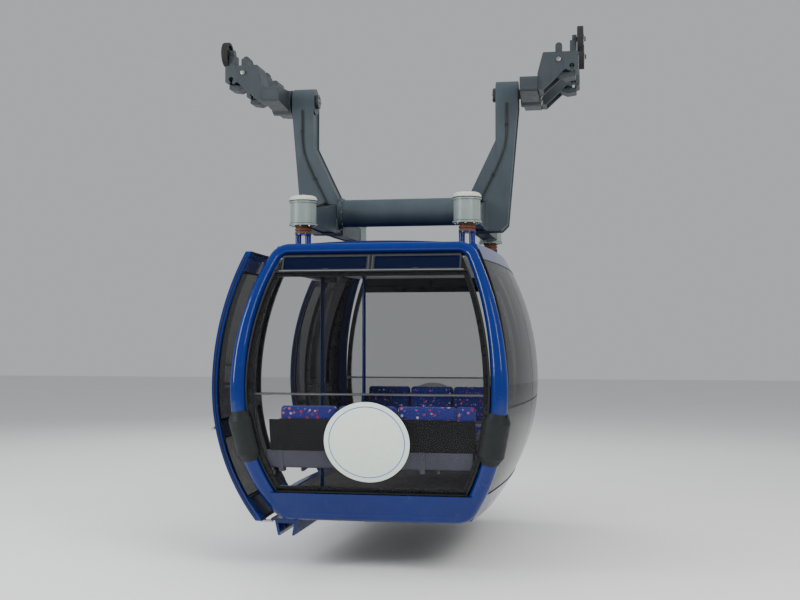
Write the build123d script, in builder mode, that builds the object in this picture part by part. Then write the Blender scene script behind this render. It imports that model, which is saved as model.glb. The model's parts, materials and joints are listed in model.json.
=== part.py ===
from build123d import *
import math
import os

os.makedirs("parts", exist_ok=True)

# Aerial cabin on two ropes, in millimetres. +Y runs along the ropes and +Z is up.
# The origin lies midway between the two ropes, at their height.
# Heights are measured above the cabin's bottom edge, and at() turns one into a Z.

# Ropes
rope_gauge = 3200
rope_radius = 23
rope_height = 3950

# Cabin shell: three rounded faces that bulge, and a door side that bows out the same way
body_height = 2280
bulge_height = 1090
half_length = 1880
end_half_width = 1100
side_bow = 145
top_inset = 283
bottom_inset = 333
corner_gap = 50
cantrail_depth = 138
cantrail_drop = 10
cantrail_thickness = 64

# End frames
tube_radius = 70
top_tube_radius = 46
tube_inset = 45
elbow_radius = 130
elbow_rise = 130
sill_top = 238
sill_proud = 20
side_sill_proud = 6
sill_thickness = 46
buffer_low = 515
buffer_high = 920
buffer_thickness = 40
buffer_taper = 70
buffer_lip = 6
buffer_clearance = 3

# Glazing
glass_thickness = 8
frame_thickness = 36
frame_border = 46
frame_gap = 4
glass_gap = 6
glass_rebate = 10
glass_low = 248
glass_top_gap = 12
seam_height = 950
seam_width = 14
side_seam = 440
window_round = 40
vent_drop = 104
vent_depth = 130
vent_border = 14
vent_divider = 36
vent_thickness = 18
vent_round = 8
plate_height = 668
plate_half_width = 347
plate_half_height = 325
plate_thickness = 2
window_rail_height = 1050
window_rail_radius = 9

# Doorway and its two leaves, stored open
doorway_half = 830
leaf_gap = 4
leaf_out = 125
leaf_travel = 838
leaf_drop = 65
leaf_border = 55
leaf_head = 165
leaf_band_low = 670
leaf_band_high = 810
leaf_glass_low = 170
leaf_round = 45
leaf_thickness = 44
rail_stand = 34
rail_radius = 13
rail_length = 620
rail_post_y = 250
rail_post_width = 26
rail_post_height = 18

# Door gear
track_depth = 66
track_width = 96
track_slot = 40
track_wall = 12
track_lip = 20
track_play = 8
arm_edge = 18
arm_width = 60
arm_overlap = 100
arm_root = 20
arm_stand = 62
arm_thickness = 14
step_half = 130
step_flange = 18
step_taper = 34
step_base_half = 70
step_wall = 20
step_depth = 140
step_cover = 40
step_end_gap = 40
foot_inset = 90
foot_far_inset = 170
foot_half = 14
foot_width = 56

# Floor and roof
floor_top = 150
floor_thickness = 36
wall_depth = 52
underframe_gauge = 1040
underframe_width = 1400
beam_width = 90
cross_beams = 5
roof_crown = 46
roof_thickness = 22
roof_edge_drop = 24
rib_half = 700
rib_width = 60
rib_height = 9
rib_pitch = 430
rib_count = 7
seat_fit = 0.3
ceiling_drop = 130
ceiling_thickness = 12
pole_x = 590
pole_y = 900
pole_radius = 18

# Benches
seat_height = 560
seat_depth = 400
cushion_thickness = 90
back_high = 960
back_thickness = 62
shell_high = 845
shell_thickness = 14
bench_half_width = 720
bench_gap = 10
seat_clearance = 0.3
seat_beam_low = 445
seat_beam_high = 590
seat_beam_depth = 58
seat_beam_round = 26
seat_beam_half = 840
seat_pan = 14
pan_lip = 12
gusset_thickness = 24
gusset_inset = 90
gusset_nose = 16
clamp_width = 40
clamp_lip = 8
clamp_drop = 30

# Hanger over the roof
cup_x = 720
cup_y = 1080
cup_radius = 114
cup_height = 215
cup_stand = 198
cup_rim = 10
cup_rim_height = 16
cap_height = 46
cap_edge = 8
rubber_height = 70
rubber_radius = 72
rubber_waist = 62
rubber_rings = 3
rubber_ring_height = 16
lug_radius = 26
lug_spread = 44
lug_plate = 14
lug_sink = 20
cross_rise = 222
cross_radius = 132
collar_lip = 16
collar_width = 40
arm_half_depth = 125
arm_plate = 16
arm_lip = 12
arm_corner = 24
arm_drop = 200
arm_chamfer = 60
arm_outer_base = 990
arm_outer_top = 1090
arm_inner_base = 640
arm_inner_top = 880
knee_drop = 450
saddle_margin = 20
saddle_thickness = 30
beam_end_half = 62
beam_mid_half = 140
beam_half_width = 76
beam_sink = 60
beam_flat = 260
beam_shoulder = 420
beam_plate = 12
cup_grip = 96
pivot_drop = 150
head_radius = 125

# Grips on the ropes
pin_radius = 45
pin_clearance = 0.05
pin_head = 22
pin_stub = 30
rocker_inner = 1130
rocker_outer = 1290
rocker_half_length = 470
rocker_half_height = 95
rocker_end_half = 66
rocker_hub_radius = 120
rocker_hub_lip = 14
rocker_round = 40
grip_y = 330
grip_half = 120
grip_flange = 50
grip_flange_low = 60
grip_flange_high = 90
grip_cheek = 34
jaw_radius = 58
jaw_top = 130
jaw_lip = 26
jaw_bottom = 44
jaw_round = 12
lever_play = 4
lever_reach = 150
lever_width = 60
lever_top = 205
lever_pad = 46
lever_heel = 64
lever_pin_radius = 18
lever_pin_height = 60
lever_pin_inset = 120
lever_pin_end = 10
lever_roller_radius = 32
spring_radius = 36
spring_height = 90
spring_rings = 5
wheel_radius = 115
wheel_width = 56
wheel_height = 265
wheel_clearance = 6
wheel_rim = 26
wheel_web = 18
wheel_hub_radius = 46
wheel_holes = 5
wheel_hole_radius = 13
axle_radius = 22
axle_clearance = 0.05
axle_end = 20
axle_boss = 40
post_inset = 20
post_width = 60
post_size = 110

# Worked out from the sizes above
plan_radius = (half_length**2 + side_bow**2) / (2 * side_bow)
side_axis_x = end_half_width + side_bow - plan_radius
side_sweep = 2 * math.degrees(math.asin((half_length + tube_radius) / plan_radius))
side_bulge = end_half_width + side_bow
reach = 2 * half_length
margin = 120
wall_gap = corner_gap + tube_radius
cantrail_top = body_height - cantrail_drop
cantrail_low = body_height - cantrail_depth
side_glass_top = cantrail_low - glass_top_gap
vent_high = body_height - vent_drop
vent_low = vent_high - vent_depth
leaf_top = body_height - leaf_drop
ceiling_height = body_height - ceiling_drop
cup_low = body_height + cup_stand
cross_height = cup_low + cross_rise
pivot_height = rope_height - pivot_drop


def at(height):
    """Z of a height above the cabin's bottom edge."""
    return height - rope_height


def bow_at(y):
    """How far the sides fall back from their widest place, a distance y along the cabin."""
    return plan_radius - math.sqrt(plan_radius**2 - y**2)


def arc_radius(rise, drop):
    return (rise**2 + drop**2) / (2 * drop)


# Each face follows two arcs that meet upright at the bulge. The sides pull in a little more
# than the ends, so that all four faces still meet at the corner tubes.
side_top_inset = top_inset + bow_at(half_length) - bow_at(half_length - top_inset)
side_bottom_inset = bottom_inset + bow_at(half_length) - bow_at(half_length - bottom_inset)
upper_rise = body_height - bulge_height
end_arcs = (arc_radius(upper_rise, top_inset), arc_radius(bulge_height, bottom_inset))
side_arcs = (arc_radius(upper_rise, side_top_inset), arc_radius(bulge_height, side_bottom_inset))


def inset(arcs, height, offset=0):
    """Distance of a face behind its bulge at a height, for a skin moved out by offset."""
    radius = arcs[0] if height >= bulge_height else arcs[1]
    return radius - math.sqrt((radius + offset)**2 - (height - bulge_height)**2)


def end_y(height, skin):
    """Distance from the middle plane to an end's skin, at a height."""
    return half_length - inset(end_arcs, height, skin)


def side_x(height, skin, y=0):
    """Distance from the middle plane to a side's skin, at a height and a distance along the cabin."""
    return side_axis_x + math.sqrt((plan_radius - inset(side_arcs, height, skin))**2 - y**2)


def face_arc(bulge, arcs, low, high, offset, sign=1):
    heights = (low, (low + high) / 2, high)
    return ThreePointArc(*[(sign * (bulge - inset(arcs, h, offset)), at(h)) for h in heights])


def wall_section(plane, bulge, arcs, low, high, offset, thickness, rounding=0):
    """A wall cut across, between two heights, with its lower corners rounded if asked."""
    stops = [low, bulge_height, high] if low < bulge_height < high else [low, high]
    skins = (offset, offset - thickness)
    with BuildSketch(plane) as section:
        with BuildLine():
            for start, stop in zip(stops, stops[1:]):
                for skin in skins:
                    face_arc(bulge, arcs, start, stop, skin)
            for height in (low, high):
                Line(*[(bulge - inset(arcs, height, skin), at(height)) for skin in skins])
        make_face()
        if rounding:
            fillet(section.vertices().sort_by(Axis.Y)[:2], radius=rounding)
    return section.sketch


def between_faces(plane, bulge, arcs, offset):
    """The space between two opposite faces, seen along the faces."""
    low = -margin
    high = body_height + margin
    with BuildSketch(plane) as space:
        with BuildLine():
            for sign in (-1, 1):
                face_arc(bulge, arcs, low, bulge_height, offset, sign)
                face_arc(bulge, arcs, bulge_height, high, offset, sign)
            for height in (low, high):
                x = bulge - inset(arcs, height, offset)
                Line((-x, at(height)), (x, at(height)))
        make_face()
    return space.sketch


def side_plane(side, shift_x=0, shift_y=0, sweep=side_sweep):
    """Upright plane through a side's bow centre, where a sweep about that centre starts."""
    angle = math.radians(sweep / 2)
    x_dir = Vector(side * math.cos(angle), -side * math.sin(angle), 0)
    origin = (side * side_axis_x + shift_x, shift_y, 0)
    return Plane(origin=origin, x_dir=x_dir, z_dir=x_dir.cross(Vector(0, 0, 1)))


def side_axis(side, shift_x=0, shift_y=0):
    return Axis((side * side_axis_x + shift_x, shift_y, 0), (0, 0, 1))


def end_plane(end, x=0):
    """Upright plane along the cabin, whose first direction points out through an end."""
    x_dir = Vector(0, end, 0)
    return Plane(origin=(x, 0, 0), x_dir=x_dir, z_dir=x_dir.cross(Vector(0, 0, 1)))


def side_wall(side, low, high, offset, thickness, gap=wall_gap):
    """Bowed side wall, stopped a gap short of the end faces."""
    section = wall_section(side_plane(side), plan_radius, side_arcs, low, high, offset, thickness)
    revolve(section, axis=side_axis(side), revolution_arc=side_sweep)
    limits = between_faces(Plane.YZ, half_length, end_arcs, -gap)
    extrude(limits, amount=reach, both=True, mode=Mode.INTERSECT)


def end_wall(end, low, high, offset, thickness, gap=wall_gap):
    """End wall, straight across and stopped a gap short of the side faces."""
    section = wall_section(end_plane(end), half_length, end_arcs, low, high, offset, thickness)
    extrude(section, amount=end_half_width, both=True)
    limits = between_faces(Plane.XZ, end_half_width, end_arcs, -gap)
    extrude(limits, amount=reach, both=True, mode=Mode.INTERSECT)


def window_outlines(plane, windows, rim=None):
    """Rounded windows on an upright plane, or with a rim the sheet around them."""
    with BuildSketch(plane) as outlines:
        if rim:
            with Locations((0, at(bulge_height))):
                Rectangle(2 * rim, 2 * rim)
        for low_u, high_u, low, high, radius in windows:
            with Locations(((low_u + high_u) / 2, at((low + high) / 2))):
                RectangleRounded(high_u - low_u, high - low, radius,
                                 mode=Mode.SUBTRACT if rim else Mode.ADD)
    return outlines.sketch


def cut_side(side, outlines):
    extrude(outlines, amount=side * reach, mode=Mode.SUBTRACT)


def cut_end(end, outlines):
    extrude(outlines, amount=-end * reach, mode=Mode.SUBTRACT)


def plan_outline(height, half_long, side_offset):
    """Level outline between the bowed sides at one height, as a sketch."""
    widest = side_x(height, side_offset)
    narrow = side_x(height, side_offset, half_long)
    with BuildSketch(Plane.XY.offset(at(height))) as outline:
        with BuildLine():
            for side in (-1, 1):
                ThreePointArc((side * narrow, -half_long), (side * widest, 0), (side * narrow, half_long))
            for end in (-1, 1):
                Line((-narrow, end * half_long), (narrow, end * half_long))
        make_face()
    return outline.sketch


def outline_on(plane, points, corner=0):
    """Closed outline through points given as (distance, Z), with rounded corners if asked."""
    with BuildSketch(plane) as outline:
        with BuildLine():
            Polyline(*points, close=True)
        make_face()
        if corner:
            fillet(outline.vertices(), radius=corner)
    return outline.sketch


def outline_rim(plane, points, corner, lip):
    """The band just inside an outline."""
    with BuildSketch(plane) as rim:
        with BuildLine():
            Polyline(*points, close=True)
        make_face()
        fillet(rim.vertices(), radius=corner)
        offset(amount=-lip, kind=Kind.INTERSECTION, mode=Mode.SUBTRACT)
    return rim.sketch


def welded_box(plane, points, half_width, plate):
    """Two outlined side plates, with the body between them set back inside their edges."""
    extrude(outline_on(plane, points, arm_corner), amount=half_width, both=True)
    rim = outline_rim(plane, points, arm_corner, arm_lip)
    extrude(rim, amount=half_width - plate, both=True, mode=Mode.SUBTRACT)


def finish(piece, name):
    piece.part.label = name
    export_step(piece.part, f"parts/{name}.step")


END_NAMES = {-1: "near", 1: "far"}
SIDE_NAMES = {-1: "left", 1: "right"}

# End frames: corner tubes bent in the corner's own upright plane, joined over the window
# by a thinner tube and under it by the sill
def tube_point(side, end, height):
    drop = inset(end_arcs, height, -tube_inset)
    return Vector(side * (end_half_width - drop), end * (half_length - drop), at(height))


def tube_bend(side, end, height):
    """Corner tube's centre line, one arc from the bulge to a height."""
    start = tube_point(side, end, bulge_height)
    up = 1 if height > bulge_height else -1
    with BuildLine() as bend:
        TangentArc(start, tube_point(side, end, height), tangent=(0, 0, up))
    return bend.line


def tube_corner(bend, height):
    """Point at a height on the straight line that goes on from the end of a bend."""
    leaving = bend % 1
    last = bend @ 1
    return last + leaving * ((at(height) - last.Z) / leaving.Z)


top_height = body_height - top_tube_radius
with BuildPart() as sill_plate:
    end_wall(-1, tube_radius, sill_top, sill_proud, sill_thickness, gap=tube_inset)

with BuildPart() as near_frame:
    add(sill_plate.part)
    for height, level, radius in (
        (top_height - elbow_rise, top_height, top_tube_radius),
        (tube_radius + elbow_rise, tube_radius, tube_radius),
    ):
        bends = [tube_bend(side, -1, height) for side in (-1, 1)]
        corners = [tube_corner(bend, level) for bend in bends]
        with BuildLine() as across:
            FilletPolyline(bends[0] @ 1, corners[0], corners[1], bends[1] @ 1, radius=elbow_radius)
        with BuildSketch(Plane(origin=across.line @ 0, z_dir=across.line % 0)) as tube_end:
            Circle(radius)
        sweep(tube_end.sketch, path=across.line)
        for bend in bends:
            with BuildSketch(Plane(origin=bend @ 0, z_dir=bend % 0)) as wide:
                Circle(tube_radius)
            with BuildSketch(Plane(origin=bend @ 1, z_dir=bend % 1)) as slim:
                Circle(radius)
            if radius == tube_radius:
                sweep(wide.sketch, path=bend)
            else:
                sweep([wide.sketch, slim.sketch], path=bend, multisection=True)

with BuildPart() as far_frame:
    add(mirror(near_frame.part, about=Plane.XZ, mode=Mode.PRIVATE))

end_frames = {-1: near_frame, 1: far_frame}
for end, frame in end_frames.items():
    finish(frame, f"end_frame_{END_NAMES[end]}")

# Side walls: a body-colour sill and roof rail, with a black window frame between them
for side in (-1, 1):
    with BuildPart() as cantrail:
        side_wall(side, cantrail_low, cantrail_top, 0, cantrail_thickness)
    finish(cantrail, f"cantrail_{SIDE_NAMES[side]}")

with BuildPart() as sill_right:
    side_wall(1, 0, sill_top, side_sill_proud, sill_thickness)
finish(sill_right, "sill_right")

with BuildPart() as sill_left:
    side_wall(-1, 0, sill_top, side_sill_proud, sill_thickness)
    with BuildSketch(Plane.YZ) as doorway:
        with Locations((0, at(floor_top + body_height / 2))):
            Rectangle(2 * doorway_half, body_height)
    cut_side(-1, doorway.sketch)
finish(sill_left, "sill_left")

# Window columns of each side, from the near end to the far end
corner_edge = half_length - wall_gap
side_columns = {
    1: ((-corner_edge, -side_seam), (-side_seam, side_seam), (side_seam, corner_edge)),
    -1: ((-corner_edge, -doorway_half), (doorway_half, corner_edge)),
}
glass_rows = ((glass_low, seam_height), (seam_height, side_glass_top))


def side_windows(side):
    windows = []
    for low_y, high_y in side_columns[side]:
        for low, high in glass_rows:
            slope = inset(end_arcs, max(low, high, key=lambda h: abs(h - bulge_height)))
            near_edge = low_y + frame_border + (slope if low_y == -corner_edge else 0)
            far_edge = high_y - frame_border - (slope if high_y == corner_edge else 0)
            windows.append((near_edge, far_edge, low + frame_border, high - frame_border, window_round))
    return windows


for side in (-1, 1):
    name = SIDE_NAMES[side]
    with BuildPart() as window_frame:
        side_wall(side, sill_top, cantrail_low, -glass_thickness, frame_thickness)
        cut_side(side, window_outlines(Plane.YZ, side_windows(side)))
        if side < 0:
            with BuildSketch(Plane.YZ) as doorway:
                with Locations((0, at(bulge_height))):
                    Rectangle(2 * doorway_half, 2 * body_height)
            cut_side(side, doorway.sketch)
    finish(window_frame, f"window_frame_{name}")

    with BuildPart() as side_glass:
        side_wall(side, glass_low, side_glass_top, 0, glass_thickness)
        with BuildSketch(Plane.YZ) as seams:
            with Locations((0, at(seam_height))):
                Rectangle(2 * reach, seam_width)
            if side > 0:
                with Locations(*[(y, at(bulge_height)) for y in (-side_seam, side_seam)]):
                    Rectangle(seam_width, 2 * body_height)
            else:
                with Locations((0, at(bulge_height))):
                    Rectangle(2 * doorway_half + seam_width, 2 * body_height)
        cut_side(side, seams.sketch)
    finish(side_glass, f"side_glass_{name}")

# End windows: one deep curved pane, and two low vent panes in metal frames above it
vent_half = end_half_width - inset(end_arcs, vent_high) - wall_gap - glass_gap
pane_limit = end_half_width - frame_border
pane_low = glass_low + frame_border
pane_high = vent_low - frame_border
vent_windows = [
    (low_x + vent_border, high_x - vent_border, vent_low + vent_border, vent_high - vent_border, vent_round)
    for low_x, high_x in ((-vent_half, -vent_divider / 2), (vent_divider / 2, vent_half))
]
vent_panes = []
for end in (-1, 1):
    name = END_NAMES[end]
    with BuildPart() as end_window_frame:
        end_wall(end, sill_top + frame_gap, vent_high + glass_rebate, -glass_thickness - glass_rebate, frame_thickness)
        with BuildSketch(Plane.XZ) as hole:
            with BuildLine():
                for sign in (-1, 1):
                    face_arc(pane_limit, end_arcs, pane_low, bulge_height, -wall_gap, sign)
                    face_arc(pane_limit, end_arcs, bulge_height, pane_high, -wall_gap, sign)
                for height in (pane_low, pane_high):
                    x = pane_limit - inset(end_arcs, height, -wall_gap)
                    Line((-x, at(height)), (x, at(height)))
            make_face()
        cut_end(end, hole.sketch)
        cut_end(end, window_outlines(Plane.XZ, vent_windows))
    finish(end_window_frame, f"end_window_frame_{name}")

    with BuildPart() as end_glass:
        end_wall(end, glass_low, vent_low - glass_gap, -glass_rebate, glass_thickness)
    finish(end_glass, f"end_glass_{name}")

    with BuildPart() as vent_frame:
        end_wall(end, vent_low, vent_high, 0, vent_thickness)
        with BuildSketch(Plane.XZ) as sides:
            with Locations((0, at(vent_low))):
                Rectangle(4 * reach, 2 * reach)
                Rectangle(2 * vent_half, reach, mode=Mode.SUBTRACT)
        cut_end(end, sides.sketch)
        cut_end(end, window_outlines(Plane.XZ, vent_windows))
    finish(vent_frame, f"vent_frame_{name}")

    for window in vent_windows:
        with BuildPart() as vent_pane:
            end_wall(end, vent_low, vent_high, -glass_gap, glass_gap)
            cut_end(end, window_outlines(Plane.XZ, (window,), rim=reach))
        vent_panes.append(vent_pane.part)

with BuildPart() as vent_glass:
    add(vent_panes)
finish(vent_glass, "vent_glass")

# Blank round plates on the end panes, and the rails inside them
plates = []
for end in (-1, 1):
    with BuildPart() as plate:
        low = plate_height - plate_half_height - seam_width
        high = plate_height + plate_half_height + seam_width
        end_wall(end, low, high, plate_thickness - glass_rebate, plate_thickness)
        with BuildSketch(Plane.XZ) as disc:
            with Locations((0, at(plate_height))):
                Ellipse(plate_half_width, plate_half_height)
        extrude(disc.sketch, amount=reach, both=True, mode=Mode.INTERSECT)
    plates.append(plate.part)

with BuildPart() as round_plates:
    add(plates)
finish(round_plates, "round_plates")

end_frame_skin = -glass_thickness - glass_rebate - frame_thickness
with BuildPart() as window_rails:
    for end in (-1, 1):
        rail_y = end * (end_y(window_rail_height, end_frame_skin) - window_rail_radius - seat_fit)
        with Locations(Location((0, rail_y, at(window_rail_height)), (0, 90, 0))):
            Cylinder(window_rail_radius, 2 * (end_half_width - wall_gap - frame_gap))
finish(window_rails, "window_rails")

# Door leaves, slid open: each stands out from the side and is moved along it
leaf_middle = leaf_travel + (doorway_half + leaf_gap) / 2


def leaf_wall(end, low, high, offset, thickness):
    """Part of a leaf between two heights."""
    shift = (-leaf_out, end * leaf_travel)
    section = wall_section(side_plane(-1, *shift), plan_radius, side_arcs, low, high, offset, thickness)
    revolve(section, axis=side_axis(-1, *shift), revolution_arc=side_sweep)
    with BuildSketch(Plane.XY.offset(at(-margin))) as limits:
        with Locations((-end_half_width, end * leaf_middle)):
            Rectangle(reach, doorway_half - leaf_gap)
    extrude(limits.sketch, amount=body_height + 2 * margin, mode=Mode.INTERSECT)


def leaf_windows(end):
    edges = sorted(end * (leaf_travel + y) for y in (leaf_gap + leaf_border, doorway_half - leaf_border))
    rows = ((leaf_glass_low, leaf_band_low), (leaf_band_high, leaf_top - leaf_head))
    return [(*edges, low, high, leaf_round) for low, high in rows]


leaf_panes = []
door_leaves = []
for end in (-1, 1):
    with BuildPart() as door_leaf:
        leaf_wall(end, 0, leaf_top, 0, leaf_thickness)
        cut_side(-1, window_outlines(Plane.YZ, leaf_windows(end)))
    finish(door_leaf, f"door_leaf_{END_NAMES[end]}")
    door_leaves.append(door_leaf.part)

    with BuildPart() as leaf_pane:
        leaf_wall(end, 0, leaf_top, -glass_gap, glass_thickness)
        cut_side(-1, window_outlines(Plane.YZ, leaf_windows(end), rim=reach))
    leaf_panes.append(leaf_pane.part)

with BuildPart() as door_glass:
    add(leaf_panes)
finish(door_glass, "door_glass")

# Grab rails across the leaves' middle bands, on short posts
rail_height = (leaf_band_low + leaf_band_high) / 2
leaf_bulge = side_bulge + leaf_out
rail_x = -(leaf_bulge - inset(side_arcs, rail_height) + rail_stand)
with BuildPart() as door_rails:
    for end in (-1, 1):
        middle = end * leaf_middle
        with Locations(Location((rail_x, middle, at(rail_height)), (90, 0, 0))):
            Cylinder(rail_radius, rail_length)
        with Locations(*[(rail_x + rail_stand, middle + y, at(rail_height)) for y in (-rail_post_y, rail_post_y)]):
            Box(2 * rail_stand, rail_post_width, rail_post_height)
    for leaf in door_leaves:
        add(leaf, mode=Mode.SUBTRACT)
finish(door_rails, "door_rails")

# Door gear: a track above the doorway, arms to the leaves, and a guide rail under the sill
track_low = cantrail_low - track_depth
track_outer = side_bulge - inset(side_arcs, cantrail_low, -track_wall) - bow_at(doorway_half)
slot_low = track_low + track_lip
slot_high = cantrail_low - track_wall
with BuildPart() as door_track:
    with BuildSketch(Plane.XZ):
        with Locations((track_width / 2 - track_outer, at((track_low + cantrail_low) / 2))):
            Rectangle(track_width, track_depth)
        with Locations((track_slot / 2 - track_outer, at((slot_low + slot_high) / 2))):
            Rectangle(track_slot, slot_high - slot_low, mode=Mode.SUBTRACT)
    extrude(amount=doorway_half - glass_gap, both=True)
finish(door_track, "door_track")

# Each arm runs along the slot, out past the doorway's edge and back onto the leaf's inner skin
leaf_skin_x = inset(side_arcs, slot_low, -leaf_thickness) - leaf_bulge
slot_x = track_slot - track_play - track_outer
arm_outer_y = doorway_half - arm_edge
with BuildPart() as door_arms:
    for end in (-1, 1):
        upper_arm = outline_on(Plane.XY.offset(at(slot_low)), (
            (leaf_skin_x - arm_root, end * (doorway_half + arm_overlap)),
            (leaf_skin_x + arm_stand, end * (doorway_half + arm_overlap)),
            (leaf_skin_x + arm_stand, end * arm_outer_y),
            (slot_x, end * arm_outer_y),
            (slot_x, end * (arm_outer_y - arm_width)),
            (leaf_skin_x - arm_root, end * (arm_outer_y - arm_width)),
        ))
        extrude(upper_arm, amount=arm_thickness)
    for leaf in door_leaves:
        add(leaf, mode=Mode.SUBTRACT)
finish(door_arms, "door_arms")

# The guide rail is a hat section: flanges under the sill and a tapered trough, open below
step_x = side_sill_proud + inset(side_arcs, 0) - side_bulge + 2 * sill_thickness + step_wall
slot_half = step_base_half - step_wall
with BuildPart() as step_rail:
    extrude(outline_on(Plane.XZ, [(step_x + x, at(h)) for x, h in (
        (-step_half, 0), (step_half, 0), (step_half, -step_flange), (step_half - step_taper, -step_flange),
        (step_base_half, -step_depth), (-step_base_half, -step_depth),
        (step_taper - step_half, -step_flange), (-step_half, -step_flange),
    )]), amount=half_length - bottom_inset - step_end_gap, both=True)
    extrude(outline_on(Plane.XZ, [(step_x + x, at(h)) for x, h in (
        (-slot_half, -step_depth), (slot_half, -step_depth),
        (slot_half + step_flange, -step_cover), (-slot_half - step_flange, -step_cover),
    )]), amount=half_length, both=True, mode=Mode.SUBTRACT)
finish(step_rail, "step_rail")

# Lower door arms: from the leaves' bottom edges to the flange of the guide rail
leaf_foot = leaf_bulge - inset(side_arcs, 0, -leaf_thickness / 2)
with BuildPart() as door_feet:
    for end in (-1, 1):
        for y in (foot_inset, doorway_half - foot_far_inset):
            foot_x = bow_at(y) - leaf_foot
            foot = outline_on(Plane.XZ.offset(-end * (leaf_travel + y)), (
                (foot_x - foot_half, at(0)), (foot_x + foot_half, at(0)),
                (foot_x + foot_half, at(-step_flange)), (step_x - step_half + foot_half, at(-step_flange)),
                (step_x - step_half + foot_half, at(-step_flange - foot_half)),
                (foot_x - foot_half, at(-step_flange - foot_half)),
            ))
            extrude(foot, amount=foot_width / 2, both=True)
finish(door_feet, "door_feet")

# Roof: a crowned panel with pressed ribs between the cantrails, and the ceiling under it
roof_edge = body_height - roof_edge_drop
roof_half = side_bulge - side_top_inset
roof_radius = arc_radius(roof_half, roof_crown)
roof_half_long = end_y(top_height, -tube_inset) - top_tube_radius - seat_fit


def roof_at(x):
    """Height of the roof's outer skin, a distance x from its ridge."""
    return roof_edge + roof_crown - roof_radius + math.sqrt(roof_radius**2 - x**2)


def roof_band(half, rise, depth, y=0):
    """A slice across the roof, from depth under its skin to a rise over it at the ridge."""
    with BuildSketch(Plane.XZ.offset(-y)) as band:
        with BuildLine():
            for ridge, edge in ((roof_at(0) + rise, roof_at(half)), (roof_at(0) - depth, roof_at(half) - depth)):
                ThreePointArc((-half, at(edge)), (0, at(ridge)), (half, at(edge)))
            for x in (-half, half):
                Line((x, at(roof_at(half))), (x, at(roof_at(half) - depth)))
        make_face()
    return band.sketch


with BuildPart() as roof_panel:
    extrude(roof_band(roof_half, 0, roof_thickness), amount=roof_half_long, both=True)
    for number in range(rib_count):
        rib_y = (number - (rib_count - 1) / 2) * rib_pitch
        extrude(roof_band(rib_half, rib_height, roof_thickness / 2, rib_y), amount=rib_width / 2, both=True)
    outline = plan_outline(cantrail_top, roof_half_long, -cantrail_thickness - seat_fit)
    extrude(outline, amount=4 * roof_crown, both=True, mode=Mode.INTERSECT)
finish(roof_panel, "roof_panel")

ceiling_half_long = end_y(ceiling_height + ceiling_thickness, end_frame_skin) - seat_fit
ceiling_skin = -cantrail_thickness - ceiling_thickness
with BuildPart() as ceiling_panel:
    extrude(plan_outline(ceiling_height, ceiling_half_long, ceiling_skin), amount=ceiling_thickness)
    for frame in end_frames.values():
        add(frame.part, mode=Mode.SUBTRACT)
finish(ceiling_panel, "ceiling_panel")

# Floor on a welded underframe
floor_low = floor_top - floor_thickness
floor_half_long = end_y(tube_radius, -tube_inset) - tube_radius - buffer_clearance
with BuildPart() as floor_panel:
    extrude(plan_outline(floor_low, floor_half_long, -wall_depth), amount=floor_thickness)
finish(floor_panel, "floor_panel")

under_half_long = floor_half_long - glass_rebate
cross_pitch = (2 * under_half_long - beam_width) / (cross_beams - 1)
with BuildPart() as underframe:
    with BuildSketch(Plane.XY.offset(at(0))):
        with GridLocations(underframe_gauge, 0, 2, 1):
            Rectangle(beam_width, 2 * under_half_long)
        with GridLocations(0, cross_pitch, 1, cross_beams):
            Rectangle(underframe_width, beam_width)
    extrude(amount=floor_low)
finish(underframe, "underframe")

# Benches along both ends and the closed side. Each seat hangs on a beam along the wall, with
# a pan under the cushion and gussets under the pan.
cushion_low = seat_height - cushion_thickness
pan_low = cushion_low - seat_pan
shell_skin = -wall_depth - shell_thickness
back_skin = shell_skin - seat_clearance
back_low = seat_beam_high + seat_clearance
end_beam_skin = end_frame_skin - seat_fit
side_beam_skin = -glass_thickness - frame_thickness - seat_fit
end_beam_mid = end_beam_skin - seat_beam_depth / 2
side_beam_mid = side_beam_skin - seat_beam_depth / 2
end_front = end_y(cushion_low, shell_skin) - seat_depth
side_bench_half = end_front - bench_gap
side_front = side_x(cushion_low, shell_skin, side_bench_half) - seat_depth

# Places of the gussets along each bench
end_gussets = (-560, 0, 560)
side_gussets = (-900, -300, 300, 900)
end_clamps = (-730, -150, 430)


def bench_wall(low, high, end_skin, side_skin, thickness, half=bench_half_width, rounding=0):
    """A band along the walls behind all three benches."""
    for end in (-1, 1):
        section = wall_section(end_plane(end), half_length, end_arcs, low, high, end_skin, thickness, rounding)
        extrude(section, amount=half, both=True)
    radius = plan_radius - inset(side_arcs, low, side_skin)
    angle = 2 * math.degrees(math.asin(side_bench_half / radius))
    start = side_plane(1, sweep=angle)
    section = wall_section(start, plan_radius, side_arcs, low, high, side_skin, thickness, rounding)
    revolve(section, axis=side_axis(1), revolution_arc=angle)


def end_slab(end, low, thickness, front, back):
    """A level slab of seat along an end."""
    points = ((front, at(low)), (back, at(low)), (back, at(low + thickness)), (front, at(low + thickness)))
    extrude(outline_on(end_plane(end), points), amount=bench_half_width, both=True)


def side_slab(low, thickness, front, skin):
    """A level slab of seat along the closed side, from a straight front back to the bowed wall."""
    extrude(plan_outline(low, side_bench_half, skin), amount=thickness)
    with BuildSketch(Plane.XY.offset(at(low))) as seat:
        with Locations((front + reach / 2, 0)):
            Rectangle(reach, reach)
    extrude(seat.sketch, amount=thickness, mode=Mode.INTERSECT)


def gusset_points(front, high_back, low_back):
    """A gusset's outline under the pan, back to the beam."""
    top = cushion_low - seat_pan / 2
    return (
        (front + gusset_inset, at(top)), (high_back, at(top)), (low_back, at(seat_beam_low - clamp_drop)),
        (front + gusset_inset, at(pan_low - gusset_nose)),
    )


with BuildPart() as side_pan:
    side_slab(pan_low, seat_pan, side_front + pan_lip, side_beam_mid)

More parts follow.
